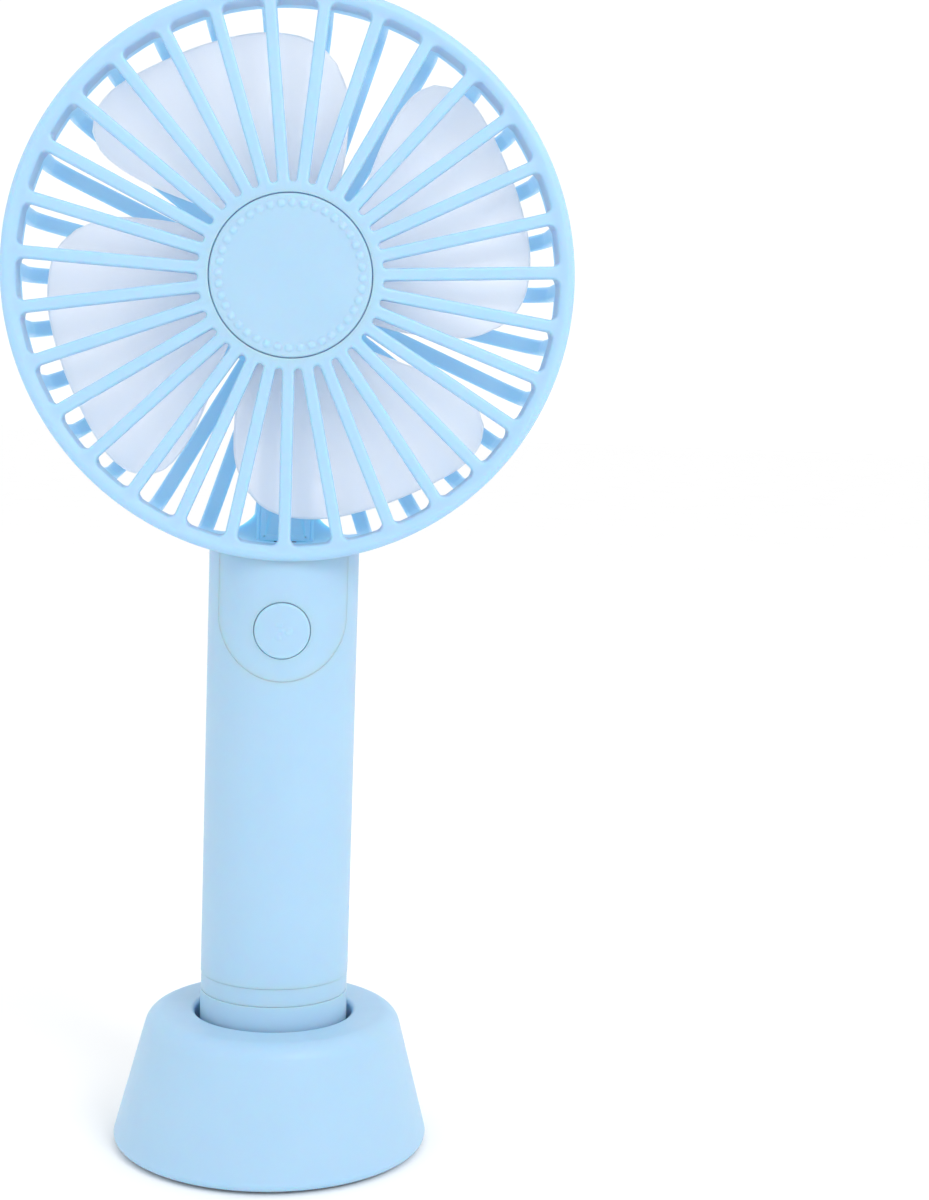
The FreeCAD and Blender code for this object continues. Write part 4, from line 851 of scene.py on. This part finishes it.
def under_head(x, y):
    """Height at which a vertical line meets the underside of the head."""
    for (radius, here), (next_radius, there) in zip(HEAD_OUTLINE, HEAD_OUTLINE[1:]):
        if here <= y <= there:
            reach = mix(radius, next_radius, (y - here) / (there - here))
            return HEAD_Z - math.sqrt(reach ** 2 - x ** 2)
    return HEAD_Z


def handle_front(x, z):
    return Vector((x, -math.sqrt(HANDLE_R ** 2 - x ** 2), z))


def handle_back(x, z):
    return Vector((x, math.sqrt(HANDLE_R ** 2 - x ** 2), z))


def ring_patch(shape, border, hole, place, rings):
    """Faces between a closed border and a hole; both are lists of flat places of the same length."""
    rows = []
    for share in spaced(0, 1, rings):
        rows.append([place(*start.lerp(stop, share)) for start, stop in zip(border, hole)])
    shape.rings(rows)


def hole_outline(border, middle, half_wide, half_high, corner):
    """For each border place, the place on a rounded slot's edge in the same direction from its middle."""
    outline = rounded_outline([(-half_wide, -half_high, corner), (half_wide, -half_high, corner),
                               (half_wide, half_high, corner), (-half_wide, half_high, corner)])
    places = []
    for place in border:
        way = (place - middle).normalized()
        best = None
        for start, stop in zip(outline, outline[1:] + outline[:1]):
            along = stop - start
            cross = way.x * along.y - way.y * along.x
            if abs(cross) < 1e-9:
                continue
            reach = (start.x * along.y - start.y * along.x) / cross
            share = (start.x * way.y - start.y * way.x) / cross
            if reach > 0 and -1e-6 <= share <= 1 + 1e-6:
                best = middle + way * reach
        places.append(best)
    return places


def tube_columns():
    """Angles of the tube's columns, from the front towards +X: notch, side, strip of holes, side."""
    notch_share = (PANEL_HALF + SEAM_GAP) / HANDLE_R
    notch_half = math.asin(notch_share)
    band_half = math.asin(HOLE_BAND_X / HANDLE_R)
    angles = []
    for turn in spaced(-math.pi / 2, math.pi / 2, NOTCH_COLUMNS)[:-1]:
        angles.append(math.asin(notch_share * math.sin(turn)))
    angles += spaced(notch_half, math.pi - band_half, SIDE_COLUMNS)[:-1]
    for x in spaced(HOLE_BAND_X, -HOLE_BAND_X, HOLE_BAND_COLUMNS)[:-1]:
        angles.append(math.pi - math.asin(x / HANDLE_R))
    return angles + spaced(math.pi + band_half, FULL_TURN - notch_half, SIDE_COLUMNS)[:-1]


def tube_rows():
    """Heights of the tube's rows and, for each rear hole, its first and last row."""
    heights = [tube_low.z] + PLAIN_ROWS
    holes = []
    for middle, half_patch, steps, _ in REAR_HOLES:
        if heights[-1] < middle - half_patch - ROW_GAP:
            heights.append(mix(heights[-1], middle - half_patch, 0.5))
        first = len(heights)
        heights += spaced(middle - half_patch, middle + half_patch, steps)
        holes.append((first, first + steps))
    return heights, holes


def thicken(piece, wall, rounding):
    """Gives a curved sheet a wall inwards and rounds the edges of the wall."""
    work = bmesh.new()
    work.from_mesh(piece.data)
    for face in work.faces:
        middle = face.calc_center_median()
        if face.normal.x * middle.x + face.normal.y * middle.y < 0:
            face.normal_flip()
    work.to_mesh(piece.data)
    work.free()
    solidify = piece.modifiers.new("wall", "SOLIDIFY")
    solidify.thickness = wall * MM
    solidify.offset = -1
    solidify.use_even_offset = True
    bevel = piece.modifiers.new("edges", "BEVEL")
    bevel.width = rounding * MM
    bevel.segments = 3
    bevel.limit_method = "ANGLE"
    bevel.angle_limit = WALL_EDGE_ANGLE
    keep_modified(piece)


def handle_tube():
    """Tube with a U-shaped notch in front, its top cut to the head, and three holes behind."""
    heights, holes = tube_rows()
    angles = tube_columns()
    band_start = NOTCH_COLUMNS + SIDE_COLUMNS
    last_column = band_start + HOLE_BAND_COLUMNS
    notch_top = max(row for row, height in enumerate(heights) if height <= PANEL_ARC_Z)
    heights[notch_top] = PANEL_ARC_Z
    bend_from = next(row for row, height in enumerate(heights) if height > BUTTON_Z - NOTCH_BEND)
    notch_half = PANEL_HALF + SEAM_GAP

    def point(row, column):
        angle = angles[column % len(angles)]
        x, y = HANDLE_R * math.sin(angle), -HANDLE_R * math.cos(angle)
        if row == len(heights):
            return Vector((x, y, under_head(x, y)))
        height = heights[row]
        if column % len(angles) <= NOTCH_COLUMNS and bend_from < row <= notch_top and y < 0:
            bend_z = heights[bend_from]
            notch_z = PANEL_ARC_Z - math.sqrt(max(notch_half ** 2 - x ** 2, 0))
            height = mix(bend_z, notch_z, (height - bend_z) / (PANEL_ARC_Z - bend_z))
        return Vector((x, y, height))

    def in_hole(row, column):
        in_band = band_start <= column < last_column
        return in_band and any(first <= row < last for first, last in holes)

    shape = Shape()
    for row in range(len(heights)):
        for column in range(len(angles)):
            in_notch = column < NOTCH_COLUMNS and row >= notch_top
            if not in_notch and not in_hole(row, column):
                shape.grid([[point(row, column), point(row, column + 1)],
                            [point(row + 1, column), point(row + 1, column + 1)]])
    for (first, last), (middle, _, _, size) in zip(holes, REAR_HOLES):
        walk = [(first, column) for column in range(band_start, last_column)]
        walk += [(row, last_column) for row in range(first, last)]
        walk += [(last, column) for column in range(last_column, band_start, -1)]
        walk += [(row, band_start) for row in range(last, first, -1)]
        border = [Vector((point(*step).x, point(*step).z)) for step in walk]
        hole = hole_outline(border, Vector((0, middle)), *size)
        ring_patch(shape, border, hole, handle_back, HOLE_RINGS)
    piece = mesh_object("handle_shell", shape)
    thicken(piece, TUBE_WALL, SEAM_ROUND)
    finish_piece(piece, "fan", ["handle_tube"], "shell_plastic", 50)


def straighten_hole(piece, hole_r):
    """Turns the wall of the hole along the button's travel, which keeps it clear of the button."""
    for vertex in piece.data.vertices:
        x, y, z = vertex.co / MM
        face_x = x * HANDLE_R / math.hypot(x, y)
        away = math.hypot(face_x, z - BUTTON_Z) - hole_r
        vertex.co.x = mix(face_x, x, smooth_step(STRAIGHT_BAND, BLEND_BAND, away)) * MM
    piece.data.update()


def button_panel():
    """U-shaped panel with a round hole for the button."""
    hole_r = BUTTON_R - FLANGE_LAP
    corner_z = under_head(PANEL_HALF, PANEL_TOP_Y)
    border = []
    for x in spaced(PANEL_HALF, -PANEL_HALF, PANEL_TOP_STEPS)[:-1]:
        border.append(Vector((x, under_head(x, PANEL_TOP_Y))))
    for z in spaced(corner_z, PANEL_ARC_Z, PANEL_SIDE_STEPS)[:-1]:
        border.append(Vector((-PANEL_HALF, z)))
    for turn in spaced(0, math.pi, PANEL_ARC_STEPS)[:-1]:
        border.append(Vector((-PANEL_HALF * math.cos(turn), PANEL_ARC_Z - PANEL_HALF * math.sin(turn))))
    for z in spaced(PANEL_ARC_Z, corner_z, PANEL_SIDE_STEPS)[:-1]:
        border.append(Vector((PANEL_HALF, z)))
    middle = Vector((0, BUTTON_Z))
    hole = [middle + (place - middle).normalized() * hole_r for place in border]
    shape = Shape()
    ring_patch(shape, border, hole, handle_front, PANEL_RINGS)
    piece = mesh_object("control_panel", shape)
    thicken(piece, PANEL_WALL, SEAM_ROUND)
    straighten_hole(piece, hole_r)
    finish_piece(piece, "fan", ["button_panel"], "shell_plastic", 50)


# ---- Power button ----

BUTTON_FACE_R = 5.1
BUTTON_PROUD = 0.45
BUTTON_ROUND = 0.4
BUTTON_DEPTH = 2.4
MARK_R = 1.9  # the faint three-bladed mark moulded in the button
MARK_LIFT = 0.07
MARK_LEAVES = 3
MARK_TWIST = 0.35  # radians of a leaf for each millimetre outwards
MARK_LEAF_START_R = 0.55
MARK_LEAF_WIDTH = 0.62  # of the pitch between leaves
MARK_DOT_R = 0.22
MARK_DOT_FADE_R = 0.38
BUTTON_SIDES = 144
BUTTON_FACE_ROWS = 30
BUTTON_EDGE_ROWS = 6
FLANGE_R = 5.95
FLANGE_FRONT_Y = -10.1
FLANGE_THICKNESS = 0.8
STEM_R = 1.6


def mark_lift(radius, angle):
    """Height of the faint mark: three leaves round a dot."""
    pitch = FULL_TURN / MARK_LEAVES
    turned_by = angle + MARK_TWIST * radius
    off_leaf = abs((turned_by + pitch / 2) % pitch - pitch / 2) / (pitch / 2)
    out = min(1.0, max(0.0, (radius - MARK_LEAF_START_R) / (MARK_R - MARK_LEAF_START_R)))
    leaf_half = MARK_LEAF_WIDTH * math.sin(math.pi * out) ** 0.5
    on_leaves = MARK_LEAF_START_R < radius < MARK_R
    in_leaf = smooth_step(0, 0.25, leaf_half - off_leaf) if on_leaves else 0.0
    in_dot = 1 - smooth_step(MARK_DOT_R, MARK_DOT_FADE_R, radius)
    return MARK_LIFT * max(in_leaf, in_dot)


def button_point(radius, angle, sink=0.0):
    """Point of the button's face, which is crowned like the handle."""
    x, rise = radius * math.sin(angle), radius * math.cos(angle)
    crown_r = HANDLE_R + BUTTON_PROUD
    return Vector((x, -math.sqrt(crown_r ** 2 - x ** 2) + sink, BUTTON_Z + rise))


def power_button():
    shape = Shape()
    angles = even_angles(BUTTON_SIDES)
    rows = []
    for radius in spaced(0, BUTTON_FACE_R - BUTTON_ROUND, BUTTON_FACE_ROWS):
        rows.append([button_point(radius, angle, -mark_lift(radius, angle)) for angle in angles])
    for turn in spaced(0, math.pi / 2, BUTTON_EDGE_ROWS)[1:]:
        radius = BUTTON_FACE_R - BUTTON_ROUND * (1 - math.sin(turn))
        sink = BUTTON_ROUND * (1 - math.cos(turn))
        rows.append([button_point(radius, angle, sink) for angle in angles])
    for radius in (BUTTON_FACE_R, 0.0):
        rows.append([button_point(radius, angle, BUTTON_DEPTH) for angle in angles])
    shape.rings(rows)
    flange_back, stem_back = FLANGE_FRONT_Y + FLANGE_THICKNESS, button_high.y
    collar = Shape()
    turned(collar, [(0, FLANGE_FRONT_Y, 0), (FLANGE_R, FLANGE_FRONT_Y, 0.15),
                    (FLANGE_R, flange_back, 0.15), (STEM_R, flange_back, 0.2),
                    (STEM_R, stem_back, 0.2), (0, stem_back, 0)],
           head_point, sides=96, closed=False)
    shape.join(collar, (0, 0, BUTTON_Z - HEAD_Z))
    finish_piece(mesh_object("push_button", shape), "button", ["power_button"], "button_plastic")


# ---- Foot of the handle, dock and rear cover ----

END_CAP_WALL = 2.0
END_CAP_SEAM = 0.03
END_CAP_ROUND = 1.6
SPIGOT_R = 11.85
SPIGOT_INNER_R = 10.65
TRIM_CLEARANCE = 0.1  # round the spigot
DOCK_FOOT_R = 30.2
DOCK_FLOOR_Z = 4.2
DOCK_FLOOR = 1.4
DOCK_WALL = 2.2
DOCK_SLOPE_TOP_R = 23.6
DOCK_ROOF_R = 22.0  # of the flat roof inside
SOCKET_R = 15.0
SOCKET_WALL = 1.6
BOSS_COUNT = 3
BOSS_CIRCLE_R = 21.0
BOSS_R = 2.3
BOSS_LOW_Z = 2.5
BOSS_HOLE_R = 0.95
BOSS_HOLE_TOP_Z = 13.0
BOSS_SINK = 0.5  # into the roof
PAD_RIDGES = 5
PAD_FIRST_R = 5.0
PAD_PITCH = 3.6
PAD_RIDGE = 2.9  # across, with its two sloping sides
PAD_GROOVE_DEPTH = 0.15
PAD_SLOPE = 0.3


def lathe_piece(name, node, body, slot, corners, place=handle_point, closed=True):
    shape = Shape()
    turned(shape, corners, place, sides=160, closed=closed)
    finish_piece(mesh_object(name, shape), body, [node], slot)


def end_ring():
    radius, low, high = round_box("end_ring")
    inner_r = SPIGOT_R + TRIM_CLEARANCE
    lathe_piece("trim_ring", "end_ring", "fan", "shell_plastic",
                [(inner_r, low.z, 0.1), (radius, low.z, 0.15), (radius, high.z, 0.15),
                 (inner_r, high.z, 0.1)])


def end_cap():
    low, high = node_box("end_cap")
    shoulder_z = node_box("end_ring")[0].z - END_CAP_SEAM
    lathe_piece("handle_foot", "end_cap", "fan", "shell_plastic",
                [(0, low.z, 0), (HANDLE_R, low.z, END_CAP_ROUND), (HANDLE_R, shoulder_z, 0.15),
                 (SPIGOT_R, shoulder_z, 0.15), (SPIGOT_R, high.z, 0.4), (SPIGOT_INNER_R, high.z, 0.2),
                 (SPIGOT_INNER_R, low.z + END_CAP_WALL, 0.5), (0, low.z + END_CAP_WALL, 0)], closed=False)


def dock_shell():
    """Hollow dock with a round socket, and bosses for the base plate's screws."""
    low, high = node_box("dock_shell")
    roof_z = high.z - DOCK_WALL
    socket_outer_r = SOCKET_R + SOCKET_WALL
    floor_low_z = DOCK_FLOOR_Z - DOCK_FLOOR
    boss_top_z = roof_z + BOSS_SINK
    shape = Shape()
    turned(shape, [(DOCK_FOOT_R, low.z, 1.2), (DOCK_SLOPE_TOP_R, high.z, 3.5), (SOCKET_R, high.z, 0.9),
                   (SOCKET_R, DOCK_FLOOR_Z, 0.5), (0, DOCK_FLOOR_Z, 0), (0, floor_low_z, 0),
                   (socket_outer_r, floor_low_z, 0.3), (socket_outer_r, roof_z, 0.8),
                   (DOCK_ROOF_R, roof_z, 1.5), (DOCK_FOOT_R - DOCK_WALL, low.z, 0.3)], sides=192)
    for index in range(BOSS_COUNT):
        angle = math.pi / 2 + FULL_TURN * index / BOSS_COUNT
        boss = Shape()
        turned(boss, [(BOSS_HOLE_R, BOSS_LOW_Z, 0.15), (BOSS_R, BOSS_LOW_Z, 0.15),
                      (BOSS_R, boss_top_z, 0), (0, boss_top_z, 0), (0, BOSS_HOLE_TOP_Z, 0),
                      (BOSS_HOLE_R, BOSS_HOLE_TOP_Z, 0)], sides=40)
        shape.join(boss, (BOSS_CIRCLE_R * math.cos(angle), BOSS_CIRCLE_R * math.sin(angle), 0))
    finish_piece(mesh_object("dock_body", shape), "dock", ["dock_shell"], "shell_plastic")


def dock_foot_pad():
    """Round rubber pad with fine round grooves underneath."""
    radius, low, high = round_box("dock_foot_pad")
    groove_z = low.z + PAD_GROOVE_DEPTH
    corners = [(0, groove_z, 0)]
    for ridge in range(PAD_RIDGES):
        inner = PAD_FIRST_R + ridge * PAD_PITCH
        outer = inner + PAD_RIDGE
        corners += [(inner, groove_z, 0.05), (inner + PAD_SLOPE, low.z, 0.1),
                    (outer - PAD_SLOPE, low.z, 0.1), (outer, groove_z, 0.05)]
    corners += [(radius, groove_z, 0.1), (radius, high.z, 0.15), (0, high.z, 0)]
    lathe_piece("foot_pad", "dock_foot_pad", "dock", "foot_rubber", corners, closed=False)


COVER_CROWN = 0.9
COVER_CROWN_FALL = 0.06  # from the middle of the crown to the edge of the dish
COVER_DISH_DEPTH = 0.4
COVER_DISH_R = 3.5
COVER_DISH_EDGE_R = 4.1
COVER_RINGS = (6.0, 8.0, 10.0, 12.0, 13.5)


def motor_cover():
    """Crowned disc with a shallow dish in the middle."""
    radius, low, high = round_box("motor_cover")
    ball_r = (radius ** 2 + COVER_CROWN ** 2) / (2 * COVER_CROWN)
    middle_y = high.y + COVER_CROWN_FALL - ball_r

    def crown_y(reach):
        return middle_y + math.sqrt(ball_r ** 2 - reach ** 2)

    dish_y = crown_y(0) - COVER_DISH_DEPTH
    corners = [(0, dish_y, 0), (COVER_DISH_R, dish_y, 0.3),
               (COVER_DISH_EDGE_R, crown_y(COVER_DISH_EDGE_R), 0.25)]
    corners += [(reach, crown_y(reach), 0) for reach in COVER_RINGS]
    corners += [(radius, crown_y(radius), 0.35), (radius, low.y, 0.15), (0, low.y, 0)]
    lathe_piece("rear_cover", "motor_cover", "fan", "shell_plastic", corners, head_point, closed=False)


LID_FOOT = 48.5  # down from the fan axis, where the lid meets the roof over the handle
LID_CORNER = 0.8
LID_ROUND = 0.35
LID_FRAME = 1.1
LID_SINK = 0.12
LID_EDGE_STEPS = 4
FELT_ROUND = 0.25
FELT_FACE_RINGS = (0, 4, 8)


def spine_cover():
    """Lid of the wire duct: rounded edges round a shallow panel, down to the roof over the handle."""
    low, high = node_box("spine_cover")
    foot_z = HEAD_Z - LID_FOOT
    loop = rounded_outline([(low.x, foot_z, LID_CORNER), (low.x, high.z, LID_CORNER),
                            (high.x, high.z, LID_CORNER), (high.x, foot_z, LID_CORNER)])
    middle_z = mix(foot_z, high.z, 0.5)

    def row(inset, y):
        return [Vector((place.x, y, place.y)) for place in loop_inset(loop, inset)]

    def middle(y):
        return [Vector((0, y, middle_z))] * len(loop)

    rows = [middle(high.y), row(0, high.y)]
    for turn in spaced(0, math.pi / 2, LID_EDGE_STEPS):
        inset, drop = 1 - math.cos(turn), 1 - math.sin(turn)
        rows.append(row(LID_ROUND * inset, low.y + LID_ROUND * drop))
    panel_y = low.y + LID_SINK
    rows += [row(LID_FRAME, low.y), row(LID_FRAME + LID_SINK, panel_y), middle(panel_y)]
    shape = Shape()
    shape.rings(rows)
    # Painted in the cage's plastic, whose painted glow lifts the lid where it sits in shade
    finish_piece(mesh_object("duct_lid", shape), "fan", ["spine_cover"], "shell_plastic",
                 material="cage_plastic")


def socket_pad():
    """Loose felt disc at the bottom of the dock's socket."""
    radius, low, high = round_box("socket_pad")
    corners = [(reach, high.z, 0) for reach in FELT_FACE_RINGS]
    corners += [(radius, high.z, FELT_ROUND), (radius, low.z, FELT_ROUND), (0, low.z, 0)]
    shape = Shape()
    turned(shape, corners, sides=120, closed=False)
    pad = finish_piece(mesh_object("felt_pad", shape), "felt_disc", ["socket_pad"], "felt")


make_camera()
make_floor()
make_light()
paint_cad_nodes()
for make_piece in (front_grille, centre_cap, impeller, handle_tube, button_panel, power_button, end_ring,
                   end_cap, dock_shell, dock_foot_pad, motor_cover, spine_cover, socket_pad):
    make_piece()
